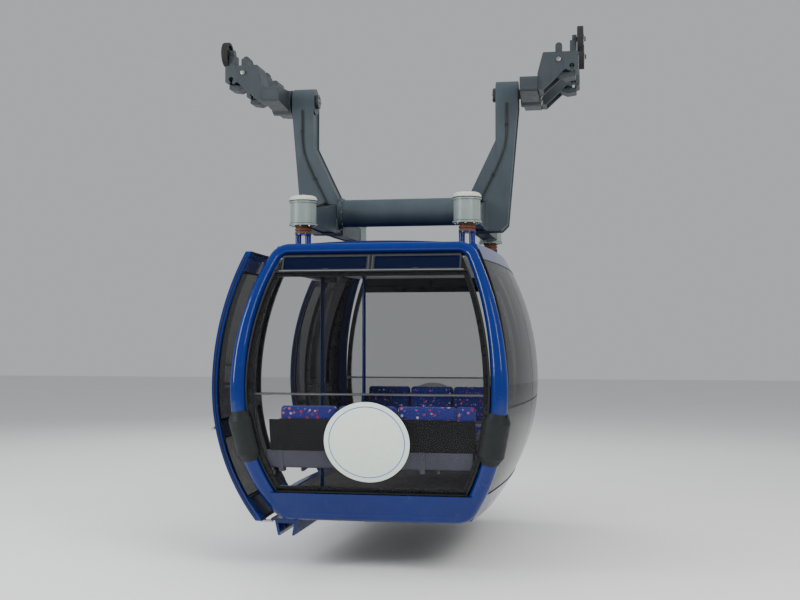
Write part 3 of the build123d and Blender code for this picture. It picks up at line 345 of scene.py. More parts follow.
# Each slot's finish, in rows by the function that makes it
FINISHES = {
    gloss_paint: {
        "body_paint": ("royal_blue_gloss", (0.0004, 0.015, 0.135), (0.0004, 0.011, 0.105)),
        "roof_panel": ("roof_blue", (0.0008, 0.017, 0.135), (0.0008, 0.013, 0.105), (0.26, 0.42), 0.2),
    },
    dull_paint: {
        "hanger_paint": ("hanger_blue_grey", (0.036, 0.050, 0.060), (0.026, 0.038, 0.046),
                         (0.17, 0.17, 0.16)),
        "cup_paint": ("cup_pale_green", (0.19, 0.235, 0.22), (0.15, 0.19, 0.175),
                      (0.36, 0.36, 0.33), (0.3, 0.5)),
        "frame_metal": ("underframe_dark", (0.035, 0.040, 0.046), (0.026, 0.028, 0.03), (0.20, 0.17, 0.14)),
        "grip_metal": ("grip_dark_blue_grey", (0.029, 0.038, 0.045), (0.022, 0.029, 0.034),
                       (0.17, 0.16, 0.15)),
        "bench_metal": ("bench_lilac_grey", (0.085, 0.088, 0.125), (0.065, 0.068, 0.098),
                        (0.22, 0.22, 0.22), (0.34, 0.5)),
    },
    bare_metal: {
        "aluminium_trim": ("anodised_aluminium", (0.40, 0.41, 0.42), (14, 1, 1)),
        "vent_metal": ("dim_aluminium", (0.13, 0.14, 0.16), (14, 1, 1), (0.34, 0.5)),
        "steel": ("brushed_steel", (0.58, 0.57, 0.55), (1, 14, 1)),
    },
    tinted_glass: {
        "tinted_glass": ("smoked_glass", (0.006, 0.006, 0.007), 0.74, 0.25),
        "clear_glass": ("end_glass", (0.010, 0.010, 0.011), 0.17, 0.3),
        "vent_glass": ("vent_glass", (0.002, 0.004, 0.016), 0.88, 0.25),
    },
    moulded: {
        "black_frame": ("window_frame_black", (0.008, 0.008, 0.009), (0.22, 0.4), 300.0, 0.0003, 0.1),
        "blank_plate": ("pale_plate", (0.62, 0.70, 0.63), (0.2, 0.34), 160.0, 0.0002, 0.05),
        "plate_ring": ("plate_blue", (0.008, 0.12, 0.42), (0.2, 0.34), 160.0, 0.0002, 0.05),
        "buffer_rubber": ("buffer_rubber", (0.009, 0.011, 0.012), (0.46, 0.66), 210.0, 0.0012, 0.4),
        "cap_plastic": ("cap_off_white", (0.42, 0.44, 0.39), (0.3, 0.46), 180.0, 0.0005, 0.12),
        "spring_rubber": ("spring_brown", (0.115, 0.045, 0.022), (0.5, 0.7), 160.0, 0.0012, 0.4),
        "ceiling": ("ceiling_grey", (0.44, 0.44, 0.43), (0.55, 0.72), 380.0, 0.0008, 0.3),
        "seat_shell": ("seat_shell_black", (0.007, 0.007, 0.008), (0.4, 0.55), 330.0, 0.0003, 0.12),
        "wheel_tread": ("wheel_tread", (0.018, 0.018, 0.018), (0.5, 0.7), 140.0, 0.0015, 0.4),
        "piping": ("piping_blue", (0.010, 0.014, 0.10), (0.6, 0.8), 500.0, 0.0004, 0.3),
        "seal": ("seal_rubber", (0.010, 0.010, 0.010), (0.5, 0.66), 260.0, 0.0006, 0.3),
        "cable": ("cable_sheath", (0.014, 0.014, 0.015), (0.4, 0.55), 300.0, 0.0003, 0.15),
    },
    moquette: {"seat_fabric": ("blue_moquette",)},
    studded_floor: {"floor_covering": ("studded_floor",)},
}
NODE_FINISHES = {
    "end_glass_near": "clear_glass", "end_glass_far": "clear_glass", "vent_glass": "vent_glass",
    "vent_frame_near": "vent_metal", "vent_frame_far": "vent_metal",
}
BEVEL_WIDTH = 0.0035
BEVEL_ANGLE = 48
SHARP_ANGLE = 38


def dress_nodes():
    """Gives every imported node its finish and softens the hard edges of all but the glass."""
    for part in frame["record"]["subparts"]:
        node = nodes[part["node"]]
        finish = NODE_FINISHES.get(part["node"], part["material_slot"])
        for socket in node.material_slots:
            socket.material = materials[finish]
        if "glass" in part["node"]:
            continue
        bevel = node.modifiers.new("edge", "BEVEL")
        bevel.width = BEVEL_WIDTH
        bevel.segments = 2
        bevel.limit_method = "ANGLE"
        bevel.angle_limit = math.radians(BEVEL_ANGLE)
        bevel.use_clamp_overlap = True
        bevel.harden_normals = True


# Mesh helpers
def add_piece(name, mesh, finish, body=CABIN):
    piece = add_object(name, mesh)
    mesh.materials.append(materials[finish])
    for polygon in mesh.polygons:
        polygon.use_smooth = True
    mesh.set_sharp_from_angle(angle=math.radians(SHARP_ANGLE))
    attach(piece, body)
    return piece


def mesh_from(name, builder):
    """Mesh made by builder(bm)."""
    bm = bmesh.new()
    builder(bm)
    bmesh.ops.recalc_face_normals(bm, faces=bm.faces)
    mesh = bpy.data.meshes.new(name)
    bm.to_mesh(mesh)
    bm.free()
    return mesh


def add_built(finish, *builders, body=CABIN):
    """A piece from each builder, with the builder's name; gives the last one."""
    for builder in builders:
        piece = add_piece(builder.__name__, mesh_from(builder.__name__, builder), finish, body)
    return piece


def join_rings(bm, rings, closed=False):
    """Faces between rings of vertices, with a cap on each end unless they close on themselves."""
    pairs = list(zip(rings, rings[1:]))
    if closed:
        pairs.append((rings[-1], rings[0]))
    count = len(rings[0])
    for a, b in pairs:
        for k in range(count):
            n = (k + 1) % count
            bm.faces.new((a[k], a[n], b[n], b[k]))
    if not closed:
        bm.faces.new(rings[0])
        bm.faces.new(tuple(reversed(rings[-1])))


def turn(count):
    """Angles of a full turn in equal steps."""
    return [2 * math.pi * k / count for k in range(count)]


def add_tube(bm, points, radius, closed=False, sides=8, flat=1.0, up=Vector((0, 0, 1))):
    """Tube along points, squashed by flat along its second axis."""
    points = [Vector(p) for p in points]
    count = len(points)
    rings = []
    side = None
    for i, point in enumerate(points):
        after = points[(i + 1) % count] if closed or i < count - 1 else point
        before = points[i - 1] if closed or i > 0 else point
        along = (after - before).normalized()
        if side is None:
            side = along.cross(up)
            if side.length < 0.1:
                side = along.cross(Vector((1, 0, 0)))
        side = (side - along * side.dot(along)).normalized()
        other = along.cross(side)
        ring = []
        for angle in turn(sides):
            out = side * math.cos(angle) + other * math.sin(angle) * flat
            ring.append(bm.verts.new(point + out * radius))
        rings.append(ring)
    join_rings(bm, rings, closed)


def lathe_rings(bm, centre, axis, profile, sides):
    tilt = Vector((0, 0, 1)).rotation_difference(Vector(axis).normalized()).to_matrix()
    rings = []
    for along, radius in profile:
        ring = []
        for angle in turn(sides):
            place = Vector((radius * math.cos(angle), radius * math.sin(angle), along))
            ring.append(bm.verts.new(Vector(centre) + tilt @ place))
        rings.append(ring)
    return rings


def add_lathe(bm, centre, axis, profile, sides=24):
    """Solid of revolution: profile is (distance along axis, radius) from one end to the other."""
    join_rings(bm, lathe_rings(bm, centre, axis, profile, sides))


def add_ring(bm, centre, axis, profile, sides=48):
    """Closed ring of revolution: profile is a closed outline of (distance along axis, radius)."""
    join_rings(bm, lathe_rings(bm, centre, axis, profile, sides), closed=True)


def add_bolt(bm, place, axis, size):
    """Hexagon bolt head on a washer; size is half the head's width."""
    washer = ((0.0, size * 1.45), (size * 0.18, size * 1.45), (size * 0.24, size * 1.3))
    head = ((0.0, size), (size * 0.75, size), (size * 0.98, size * 0.78))
    add_lathe(bm, place, axis, washer, 18)
    add_lathe(bm, Vector(place) + Vector(axis).normalized() * size * 0.2, axis, head, 6)


def add_block(bm, low, high, chamfer):
    """Box between two corners, with chamfered edges."""
    made = bmesh.ops.create_cube(bm, size=1.0)
    middle = (Vector(low) + Vector(high)) / 2
    size = Vector(high) - Vector(low)
    for vert in made["verts"]:
        vert.co = middle + vert.co * size
    edges = list({edge for vert in made["verts"] for edge in vert.link_edges})
    bmesh.ops.bevel(bm, geom=edges, offset=chamfer, segments=2, affect="EDGES")


def block_at(bm, middle, half, chamfer):
    """Chamfered box round a point, where half is half its size each way."""
    add_block(bm, middle - Vector(half), middle + Vector(half), chamfer)


def rounded_loop(low_u, high_u, low_v, high_v, radius, step=0.05):
    """Points round a rectangle with rounded corners, as (u, v)."""
    points = []
    corners = ((high_u, high_v, 0), (low_u, high_v, 90), (low_u, low_v, 180), (high_u, low_v, 270))
    for u, v, start in corners:
        cu = u - math.copysign(radius, u - (low_u + high_u) / 2)
        cv = v - math.copysign(radius, v - (low_v + high_v) / 2)
        for k in range(7):
            angle = math.radians(start + 15 * k)
            points.append((cu + radius * math.cos(angle), cv + radius * math.sin(angle)))
    dense = []
    for a, b in zip(points, points[1:] + points[:1]):
        parts = max(1, round(math.dist(a, b) / step))
        dense += [(a[0] + (b[0] - a[0]) * k / parts, a[1] + (b[1] - a[1]) * k / parts) for k in range(parts)]
    return dense


make_camera()
materials = {slot: kind(*values) for kind, rows in FINISHES.items() for slot, values in rows.items()}
dress_nodes()

# Benches, in metres
SEAT_LOW = 0.47
SEAT_HIGH = 0.56
SEAT_DEPTH = 0.40
SHELL_SKIN = -0.066
SHELL_HIGH = 0.845
END_SEAT_SKIN = -0.1203
SIDE_SEAT_SKIN = -0.1026
BACK_SKIN = -0.0663
BACK_LOW = 0.5903
BACK_HIGH = 0.96
BACK_THICKNESS = 0.062
END_BENCH_HALF = 0.72
END_SEATS = 3
SIDE_SEATS = 5
END_FRONT = HALF_LENGTH - inset(END_ARCS, SEAT_LOW, SHELL_SKIN) - SEAT_DEPTH
END_SEAT_DEPTH = HALF_LENGTH - inset(END_ARCS, SEAT_LOW, END_SEAT_SKIN) - END_FRONT
SIDE_BENCH_HALF = END_FRONT - 0.01
SIDE_FRONT = side_x(SEAT_LOW, SHELL_SKIN, SIDE_BENCH_HALF) - SEAT_DEPTH
PAD_WIDTH = 2 * END_BENCH_HALF / END_SEATS
CORNER_SEAT_Y = END_FRONT + 0.001
CORNER_BACK_X = 0.7925
CORNER_BACK_STRETCH = 0.145 / PAD_WIDTH
PAD_GAP = 0.0015
PAD_SHRINK = 0.005
PAD_DOME_ROOM = 0.012
PAD_CAP = 0.014
PAD_VOXEL = 0.010
SEAM_REACH = 0.009
SEAM_DROP = 0.008
CHANNEL_DIP = 0.007
CLOTH_FRAMES = 20


class Pad:
    """One foam pad in its own space: u across it, v along it and w out of its face."""

    def __init__(self, name, depth, thickness, channel):
        self.half = PAD_WIDTH / 2
        self.depth = depth
        self.thickness = thickness
        self.channel = channel
        self.verts, self.faces = self.swell(self.start(name))
        self.tree = BVHTree.FromPolygons(self.verts, self.faces)

    def start(self, name):
        """Slightly small rounded box, remeshed finely enough to swell."""
        low = (PAD_SHRINK - self.half, PAD_SHRINK, 0)
        high = (self.half - PAD_SHRINK, self.depth - PAD_SHRINK, self.thickness - PAD_DOME_ROOM)
        pad = add_object(name, mesh_from(name, lambda bm: add_block(bm, low, high, 0.016)))
        remesh = pad.modifiers.new("remesh", "REMESH")
        remesh.mode = "VOXEL"
        remesh.voxel_size = PAD_VOXEL
        graph = bpy.context.evaluated_depsgraph_get()
        pad.data = bpy.data.meshes.new_from_object(pad.evaluated_get(graph))
        pad.modifiers.clear()
        return pad

    def seam_loop(self):
        """The sewn edge round the face, at its own height."""
        edge = PAD_SHRINK + 0.006
        loop = rounded_loop(edge - self.half, self.half - edge, edge, self.depth - edge, 0.020, 0.014)
        return [Vector((u, v, self.thickness - PAD_DOME_ROOM - SEAM_DROP)) for u, v in loop]

    def channel_line(self):
        v = self.depth * self.channel
        reach = self.half - 0.02
        return [Vector((u * reach / 12, v, self.thickness - PAD_DOME_ROOM)) for u in range(-12, 13)]

    def swell(self, pad):
        """Blows the pad up between its seams with cloth, and gives its vertices and faces."""
        rest = [vert.co.copy() for vert in pad.data.vertices]
        seams = BVHTree.FromPolygons(*ribbon(self.seam_loop(), True))
        channel = BVHTree.FromPolygons(*ribbon(self.channel_line(), False))
        held = []
        for index, place in enumerate(rest):
            near_seam = seams.find_nearest(place)[3] < SEAM_REACH
            near_channel = place.z > 0.02 and channel.find_nearest(place)[3] < SEAM_REACH * 0.8
            if near_channel:
                place.z -= CHANNEL_DIP
                pad.data.vertices[index].co = place
            if near_seam or near_channel or place.z < 0.01:
                held.append(index)
        pins = pad.vertex_groups.new(name="seams")
        pins.add(held, 1.0, "REPLACE")
        cloth = pad.modifiers.new("cloth", "CLOTH")
        settings = cloth.settings
        settings.quality = 5
        settings.mass = 0.3
        settings.use_pressure = True
        settings.uniform_pressure_force = 4.0
        settings.vertex_group_mass = "seams"
        settings.effector_weights.gravity = 0.0
        settings.tension_stiffness = 12.0
        settings.compression_stiffness = 12.0
        cloth.point_cache.frame_start = 1
        cloth.point_cache.frame_end = CLOTH_FRAMES
        scene = bpy.context.scene
        for step in range(1, CLOTH_FRAMES + 1):
            scene.frame_set(step)
        graph = bpy.context.evaluated_depsgraph_get()
        moved = [vert.co.copy() for vert in pad.evaluated_get(graph).data.vertices]
        scene.frame_set(1)
        verts = [self.kept_in(old, new) for old, new in zip(rest, moved)]
        faces = [tuple(face.vertices) for face in pad.data.polygons]
        mesh = pad.data
        bpy.data.objects.remove(pad)
        bpy.data.meshes.remove(mesh)
        return verts, faces

    def kept_in(self, old, new):
        """Where a point may go: not far, and not out of the pad's own room."""
        move = new - old
        if move.length > PAD_CAP:
            move = move.normalized() * PAD_CAP
        place = old + move
        place.x = min(max(place.x, PAD_GAP - self.half), self.half - PAD_GAP)
        place.y = min(max(place.y, PAD_GAP), self.depth - PAD_GAP)
        place.z = min(max(place.z, 0.0005), self.thickness)
        return place

    def build(self, name, mapping):
        """A bench's pad, carried from its own space to its place by mapping."""
        mesh = bpy.data.meshes.new(name)
        mesh.from_pydata([mapping(place) for place in self.verts], [], self.faces)
        bm = bmesh.new()
        bm.from_mesh(mesh)
        bmesh.ops.recalc_face_normals(bm, faces=bm.faces)
        bm.to_mesh(mesh)
        bm.free()
        return mesh

    def add_piping(self, bm, mapping):
        loop = [self.tree.find_nearest(place + Vector((0, 0, 0.004)))[0] for place in self.seam_loop()]
        add_tube(bm, [mapping(place) for place in loop], 0.0036, closed=True, sides=6)
        line = [self.tree.find_nearest(place)[0] for place in self.channel_line()]
        add_tube(bm, [mapping(place) for place in line], 0.0016, sides=5)


def ribbon(points, closed):
    """A thin strip of faces along points, to measure distances from."""
    lift = Vector((0, 0, 0.0005))
    verts = list(points) + [point + lift for point in points]
    count = len(points)
    spans = range(count if closed else count - 1)
    return verts, [(i, (i + 1) % count, (i + 1) % count + count, i + count) for i in spans]


def end_seat(end, x):
    return lambda p: Vector((x + p.x, end * (END_FRONT + p.y), at(SEAT_LOW + p.z)))


def end_back(end, x, stretch=1.0):
    return lambda p: on_end(end, x + p.x * stretch, BACK_LOW + p.y, BACK_SKIN - p.z)


def side_seat(y, stretch):
    def place(p):
        along = y + p.x * stretch
        room = side_x(SEAT_LOW, SIDE_SEAT_SKIN, along) - SIDE_FRONT
        return Vector((SIDE_FRONT + p.y * room / END_SEAT_DEPTH, along, at(SEAT_LOW + p.z)))
    return place


def side_back(y, stretch):
    return lambda p: on_side(1, y + p.x * stretch, BACK_LOW + p.y, BACK_SKIN - p.z)


def corner_seat(end):
    def place(p):
        y = CORNER_SEAT_Y + p.y
        wall = side_x(SEAT_LOW, SIDE_SEAT_SKIN, y) - 0.004
        share = (p.x + PAD_WIDTH / 2) / PAD_WIDTH
        return Vector((END_BENCH_HALF + 0.001 + share * (wall - END_BENCH_HALF), end * y, at(SEAT_LOW + p.z)))
    return place


def make_pads():
    """Seat and back pads: three on each end bench, five along the side, one in each corner."""
    seat = Pad("seat_start", END_SEAT_DEPTH, SEAT_HIGH - SEAT_LOW, 0.30)
    back = Pad("back_start", BACK_HIGH - BACK_LOW, BACK_THICKNESS, 0.62)
    places = []
    for end, word in ENDS:
        for number in range(END_SEATS):
            x = (number - (END_SEATS - 1) / 2) * PAD_WIDTH
            places.append((f"{word}_{number + 1}", end_seat(end, x), end_back(end, x)))
        corner_back = end_back(end, CORNER_BACK_X, CORNER_BACK_STRETCH)
        places.append((f"{word}_corner", corner_seat(end), corner_back))
    pitch = 2 * SIDE_BENCH_HALF / SIDE_SEATS
    stretch = pitch / PAD_WIDTH
    for number in range(SIDE_SEATS):
        y = (number - (SIDE_SEATS - 1) / 2) * pitch
        places.append((f"side_{number + 1}", side_seat(y, stretch), side_back(y, stretch)))
    fitted = []
    for word, seat_map, back_map in places:
        for kind, pad, mapping, node in (
            ("seat_pad", seat, seat_map, "bench_cushions"), ("back_pad", back, back_map, "bench_backs"),
        ):
            name = f"{kind}_{word}"
            piece = add_piece(name, pad.build(name, mapping), "seat_fabric")
            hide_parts(node)
            fitted.append((pad, mapping))

    def seat_piping(bm):
        for pad, mapping in fitted:
            pad.add_piping(bm, mapping)

    add_built("piping", seat_piping)


make_pads()

# Shell trim, in metres
GLASS_LOW = 0.248
SIDE_GLASS_TOP = 2.130
VENT_LOW = 2.046
VENT_HIGH = 2.176
VENT_HINGES = (-0.56, -0.18, 0.18, 0.56)
VENT_CATCHES = (-0.37, 0.37)
CANTRAIL_LOW = 2.142
CANTRAIL_TOP = 2.270
WALL_GAP = 0.12
PANE_SKIN = -0.010
EDGE_SKIN = -0.002
SEAM_SKIN = -0.005
SEAM_BEAD = 0.0062
LEAF_TOP = 2.215
LEAF_WINDOWS = ((0.17, 0.67), (0.81, 2.05))
LEAF_SPAN = (0.059, 0.775)
LEAF_FACES = (-0.001, -0.043)
LEAF_EDGES = ((0.004, -0.016), (0.004, -0.030), (0.828, -0.022))
FLOOR_TOP = 0.15
CEILING = 2.15
PLATE_HEIGHT = 0.668
RING_HALF_WIDTH = 0.306
RING_HALF_HEIGHT = 0.286
THRESHOLD_HALF = 0.80
THRESHOLD_RIBS = ((0.012, 0.0030), (0.026, 0.0031), (0.040, 0.0031), (0.054, 0.0031), (0.068, 0.0030))
THRESHOLD_PLATE = ((0.002, 0.0002), (0.002, 0.003), (0.078, 0.003), (0.078, 0.0002))
RAIL_HEIGHT = 1.05
RAIL_SKIN = -0.054
RAIL_BRACKET_X = 0.955
POLE_X = -0.59
POLE_Y = 0.90
LIP_SKIN = -0.057
SHELL_FRONT_SKIN = -0.052
CORNER_SHELLS = ((-0.805, -END_BENCH_HALF), (END_BENCH_HALF, 0.865))
CORNER_PAN = (0.4560, 0.4697)


def spread(low, high, count):
    return [low + (high - low) * i / (count - 1) for i in range(count)]


def along_side(side, low, high, height, skin, count=30):
    return [on_side(side, y, height, skin) for y in spread(low, high, count)]


def up_side(side, y, low, high, skin, count=40):
    return [on_side(side, y, h, skin) for h in spread(low, high, count)]


def pane_edge(height):
    """Half width of an end pane at a height."""
    return END_HALF_WIDTH - inset(END_ARCS, height, -WALL_GAP)


def wall_end(height):
    """Half length of a side wall at a height."""
    return HALF_LENGTH - inset(END_ARCS, height, -WALL_GAP)


def pane_gaskets(bm):
    """Rubber round the end panes and up the joints beside the corner tubes."""
    top = VENT_LOW - 0.006
    heights = spread(GLASS_LOW, top, 40)
    outline = [(pane_edge(h), h) for h in heights]
    outline += [(x, top) for x in spread(pane_edge(top), -pane_edge(top), 20)[1:-1]]
    outline += [(-pane_edge(h), h) for h in reversed(heights)]
    outline += [(x, GLASS_LOW) for x in spread(-pane_edge(GLASS_LOW), pane_edge(GLASS_LOW), 20)[1:-1]]
    joint_heights = spread(0.10, CANTRAIL_TOP - 0.05, 44)
    for end in (-1, 1):
        add_tube(bm, [on_end(end, x, h, PANE_SKIN) for x, h in outline], 0.009, closed=True)
        for side in (-1, 1):
            joint = [on_side(side, end * wall_end(h), h, EDGE_SKIN) for h in joint_heights]
            add_tube(bm, joint, 0.008)


def wall_spans(side, reach, gap):
    """Stretches of a side wall along Y, parted by the doorway on the left side."""
    if side > 0:
        return ((-reach, reach),)
    return (-reach, -DOORWAY_HALF - gap), (DOORWAY_HALF + gap, reach)


def side_beads(bm):
    """Sealant in the seams between the side panes and along their edges."""
    for side in (1, -1):
        for low, high in wall_spans(side, wall_end(SEAM_HEIGHT), 0.012):
            add_tube(bm, along_side(side, low, high, SEAM_HEIGHT, SEAM_SKIN), SEAM_BEAD, sides=6)
        for height in (GLASS_LOW - 0.003, SIDE_GLASS_TOP + 0.005):
            for low, high in wall_spans(side, wall_end(height) - 0.005, 0.01):
                add_tube(bm, along_side(side, low, high, height, EDGE_SKIN), 0.0065, sides=6)
    for y in (-SIDE_SEAM, SIDE_SEAM):
        add_tube(bm, up_side(1, y, GLASS_LOW, SIDE_GLASS_TOP, SEAM_SKIN), SEAM_BEAD, sides=6)


def leaf_seals(bm):
    """Gaskets round the leaves' windows and the soft edges where the leaves meet."""
    for end in (-1, 1):
        for low, high in LEAF_WINDOWS:
            loop = rounded_loop(*LEAF_SPAN, low, high, 0.045)
            for skin in LEAF_FACES:
                line = [on_leaf(end, y, h, skin) for y, h in loop]
                add_tube(bm, line, 0.0065, closed=True, sides=6)
        for y, skin in LEAF_EDGES:
            line = [on_leaf(end, y, h, skin) for h in spread(0.03, LEAF_TOP - 0.03, 44)]
            add_tube(bm, line, 0.007)
        for height in (0.012, LEAF_TOP - 0.012):
            line = [on_leaf(end, y, height, -0.038) for y in spread(0.02, 0.815, 16)]
            add_tube(bm, line, 0.009)


def doorway_seals(bm):
    """Rubber at the doorway's sides and top that the shut leaves press on."""
    for y in (-DOORWAY_HALF, DOORWAY_HALF):
        add_tube(bm, up_side(-1, y, 0.245, CANTRAIL_LOW - 0.005, -0.010), 0.011)
    lintel = along_side(-1, -DOORWAY_HALF, DOORWAY_HALF, CANTRAIL_LOW + 0.004, -0.004, 24)
    add_tube(bm, lintel, 0.010)


def plate_lines(bm):
    """A thin plain line round the blank plates, just proud of them."""
    for end in (-1, 1):
        loop = []
        for angle in turn(72):
            x = RING_HALF_WIDTH * math.cos(angle)
            height = PLATE_HEIGHT + RING_HALF_HEIGHT * math.sin(angle)
            loop.append(on_end(end, x, height, PANE_SKIN + 0.0022))
        add_tube(bm, loop, 0.0035, closed=True, sides=6, flat=0.4, up=Vector((0, end, 0)))


def threshold_strip(bm):
    """Ribbed metal strip along the floor's edge in the doorway."""
    ys = spread(-THRESHOLD_HALF, THRESHOLD_HALF, 17)
    edge = [side_x(FLOOR_TOP - 0.036, -0.052, y) for y in ys]
    for offset, rise in THRESHOLD_RIBS:
        line = [(offset - x, y, at(FLOOR_TOP + rise)) for x, y in zip(edge, ys)]
        add_tube(bm, line, 0.0065, flat=0.55)
    sheet_between(bm, [[(offset - x, y, at(FLOOR_TOP + rise)) for offset, rise in THRESHOLD_PLATE]
                       for x, y in zip(edge, ys)])


def vent_fittings(bm):
    """Hinges along the vent panes' tops and a catch under each."""
    for end in (-1, 1):
        for x in VENT_HINGES:
            block_at(bm, on_end(end, x, VENT_HIGH - 0.007, 0.0), (0.030, 0.006, 0.006), 0.002)
        for x in VENT_CATCHES:
            block_at(bm, on_end(end, x, VENT_LOW + 0.010, 0.0), (0.022, 0.008, 0.009), 0.003)


def vent_dividers(bm):
    """Dark joint between the two vent panes' frames."""
    for end in (-1, 1):
        line = [on_end(end, 0, h, 0.0) for h in spread(VENT_LOW + 0.004, VENT_HIGH - 0.004, 8)]
        add_tube(bm, line, 0.010, flat=0.35, up=Vector((1, 0, 0)))


def vent_edge_highlights(bm):
    """Thin aluminium edges under the vent panes and beside their joint, brighter than the dim vent metal:
    painted highlights along the edges.
    """
    reach = pane_edge(VENT_LOW) - 0.030
    for end in (-1, 1):
        for x in (-0.016, 0.016):
            upright = [on_end(end, x, h, 0.001) for h in spread(VENT_LOW + 0.006, VENT_HIGH - 0.006, 8)]
            add_tube(bm, upright, 0.0032, sides=6)
        lower = [on_end(end, x, VENT_LOW + 0.003, 0.001) for x in spread(-reach, reach, 16)]
        add_tube(bm, lower, 0.0036, sides=6)


def rail_brackets(bm):
    """Short stems that hold the window rails off the frames."""
    y = HALF_LENGTH - inset(END_ARCS, RAIL_HEIGHT, RAIL_SKIN) - 0.004
    for end in (-1, 1):
        for x in (-RAIL_BRACKET_X, RAIL_BRACKET_X):
            block_at(bm, Vector((x, end * y, at(RAIL_HEIGHT))), (0.012, 0.014, 0.016), 0.003)


def pole_flanges(bm):
    """Round feet and heads on the grab poles."""
    profile = ((0.0, 0.046), (0.005, 0.046), (0.010, 0.036), (0.022, 0.0215), (0.030, 0.0200))
    for y in (-POLE_Y, POLE_Y):
        add_lathe(bm, (POLE_X, y, at(FLOOR_TOP)), (0, 0, 1), profile)
        add_lathe(bm, (POLE_X, y, at(CEILING)), (0, 0, -1), profile)


def shell_lips(bm):
    """Rolled lip along the seat shells' top edges."""
    for end in (-1, 1):
        line = [on_end(end, x, SHELL_HIGH, LIP_SKIN) for x in spread(-END_BENCH_HALF, END_BENCH_HALF, 20)]
        add_tube(bm, line, 0.0065)
    line = along_side(1, -SIDE_BENCH_HALF, SIDE_BENCH_HALF, SHELL_HIGH, LIP_SKIN)
    add_tube(bm, line, 0.0065)


def sheet_between(bm, rows):
    """Closed slab from rows of points that go round it in the same order."""
    join_rings(bm, [[bm.verts.new(point) for point in row] for row in rows])


def corner_shells(bm):
    """Backs past the end benches' own shells, and pans under the corner seats."""
    low, high = CORNER_PAN
    for end in (-1, 1):
        for inner, outer in CORNER_SHELLS:
            outline = ((inner, SHELL_FRONT_SKIN), (outer, SHELL_FRONT_SKIN),
                       (outer, SHELL_SKIN), (inner, SHELL_SKIN))
            sheet_between(bm, [[on_end(end, x, height, skin) for x, skin in outline]
                               for height in spread(BACK_LOW, SHELL_HIGH, 8)])
        rows = []
        for y in spread(CORNER_SEAT_Y - 0.004, CORNER_SEAT_Y + END_SEAT_DEPTH - 0.02, 6):
            wall = side_x(SEAT_LOW, -0.056, y)
            outline = ((END_BENCH_HALF, low), (wall, low), (wall, high), (END_BENCH_HALF, high))
            rows.append([(x, end * y, at(height)) for x, height in outline])
        sheet_between(bm, rows)


add_built("seal", pane_gaskets, side_beads, leaf_seals, doorway_seals)
add_built("plate_ring", plate_lines)
add_built("aluminium_trim", threshold_strip)
add_built("vent_metal", vent_fittings)
# Bright aluminium strips on the vent frames' edges, as painted highlights
add_built("aluminium_trim", vent_edge_highlights)
add_built("seal", vent_dividers)
add_built("aluminium_trim", rail_brackets)
add_built("body_paint", pole_flanges)
add_built("seat_shell", shell_lips, corner_shells)

# Hanger and grips, in metres
CUP_X = 0.72
CUP_Y = 1.08
CUP_PLACES = [(x, y) for x in (-CUP_X, CUP_X) for y in (-CUP_Y, CUP_Y)]
CUP_LOW = BODY_HEIGHT + 0.198
CUP_TOP = CUP_LOW + 0.215
CAP_TOP = CUP_TOP + 0.046
RIM_BOLT_CIRCLE = 0.098
LUG_PAD_RISE = 0.012
LUG_PAD_HALF = (0.095, 0.055)
CROSS_HEIGHT = CUP_LOW + 0.222
PIVOT_HEIGHT = ROPE_HEIGHT - 0.15
CROSS_RADIUS = 0.132
COLLAR_FACE = 0.600
COLLAR_BOLT_CIRCLE = 0.1405
ARM_HALF_DEPTH = 0.125
BEAM_HALF_WIDTH = 0.076
BEAM_AXIS = CROSS_HEIGHT - 0.06
BEAM_ROOT_HALF = 0.14
CONDUIT_Y = -0.134
CONDUIT_ON_ARM = ((0.965, 3.28), (0.985, 3.70))
CONDUIT_CLIPS = (0.10, 0.30, 0.52, 0.66, 0.80, 0.93)
ROOF_HALF = END_HALF_WIDTH + SIDE_BOW - TOP_INSET - BOW_TOP
ROOF_CROWN = 0.046
ROOF_RADIUS = arc_radius(ROOF_HALF, ROOF_CROWN)
GRIP_Y = 0.33
GRIP_HALF = 0.12
FLANGE_X = 1.34
LEVER_X = 1.45
LEVER_PIN = (1.48, 0.06)
SPRING_Z = 0.09
WHEEL_Z = 0.265
WHEEL_X = 1.646
WHEEL_WIDTH = 0.056
PIVOT_HEAD_X = 0.850
ROCKER_HUB_X = 1.304
COIL_TURNS = 7
COIL_STEPS = 18
COIL_RADIUS = 0.030
WIRE_RADIUS = 0.0058
SPRING_SEAT = ((0.0, 0.036), (0.007, 0.036), (0.010, 0.024), (0.022, 0.022))
TREAD = (
    (0.001, 0.1130), (0.003, 0.1165), (0.016, 0.1180), (0.018, 0.1158), (0.021, 0.1158), (0.023, 0.1180),
    (0.033, 0.1180), (0.035, 0.1158), (0.038, 0.1158), (0.040, 0.1180), (0.053, 0.1165), (0.055, 0.1130),
)
HUB_RING = ((0.0, 0.026), (0.0, 0.043), (0.005, 0.043), (0.009, 0.036), (0.009, 0.026))
HUB_BOLT_CIRCLE = 0.034


def roof_at(x):
    return BODY_HEIGHT - 0.024 + ROOF_CROWN - ROOF_RADIUS + math.sqrt(ROOF_RADIUS**2 - x**2)


def circle_points(centre, radius, axis, count=40):
    """Points round a circle across an axis, which is X, Y or Z either way."""
    first, second = [k for k in range(3) if not axis[k]]
    points = []
    for angle in turn(count):
        point = Vector(centre)
        point[first] += radius * math.cos(angle)
        point[second] += radius * math.sin(angle)
        points.append(point)
    return points


def bolt_circle(bm, centre, radius, axis, count, size):
    for point in circle_points(centre, radius, axis, count):
        add_bolt(bm, point, axis, size)


def cup_seams(bm):
    """Dark joints under the caps and above the lower rims."""
    for x, y in CUP_PLACES:
        for height, radius, bead in ((CUP_TOP, 0.1235, 0.0042), (CUP_LOW + 0.018, 0.1150, 0.0030)):
            ring = circle_points((x, y, at(height)), radius, (0, 0, 1))
            add_tube(bm, ring, bead, closed=True, sides=6)


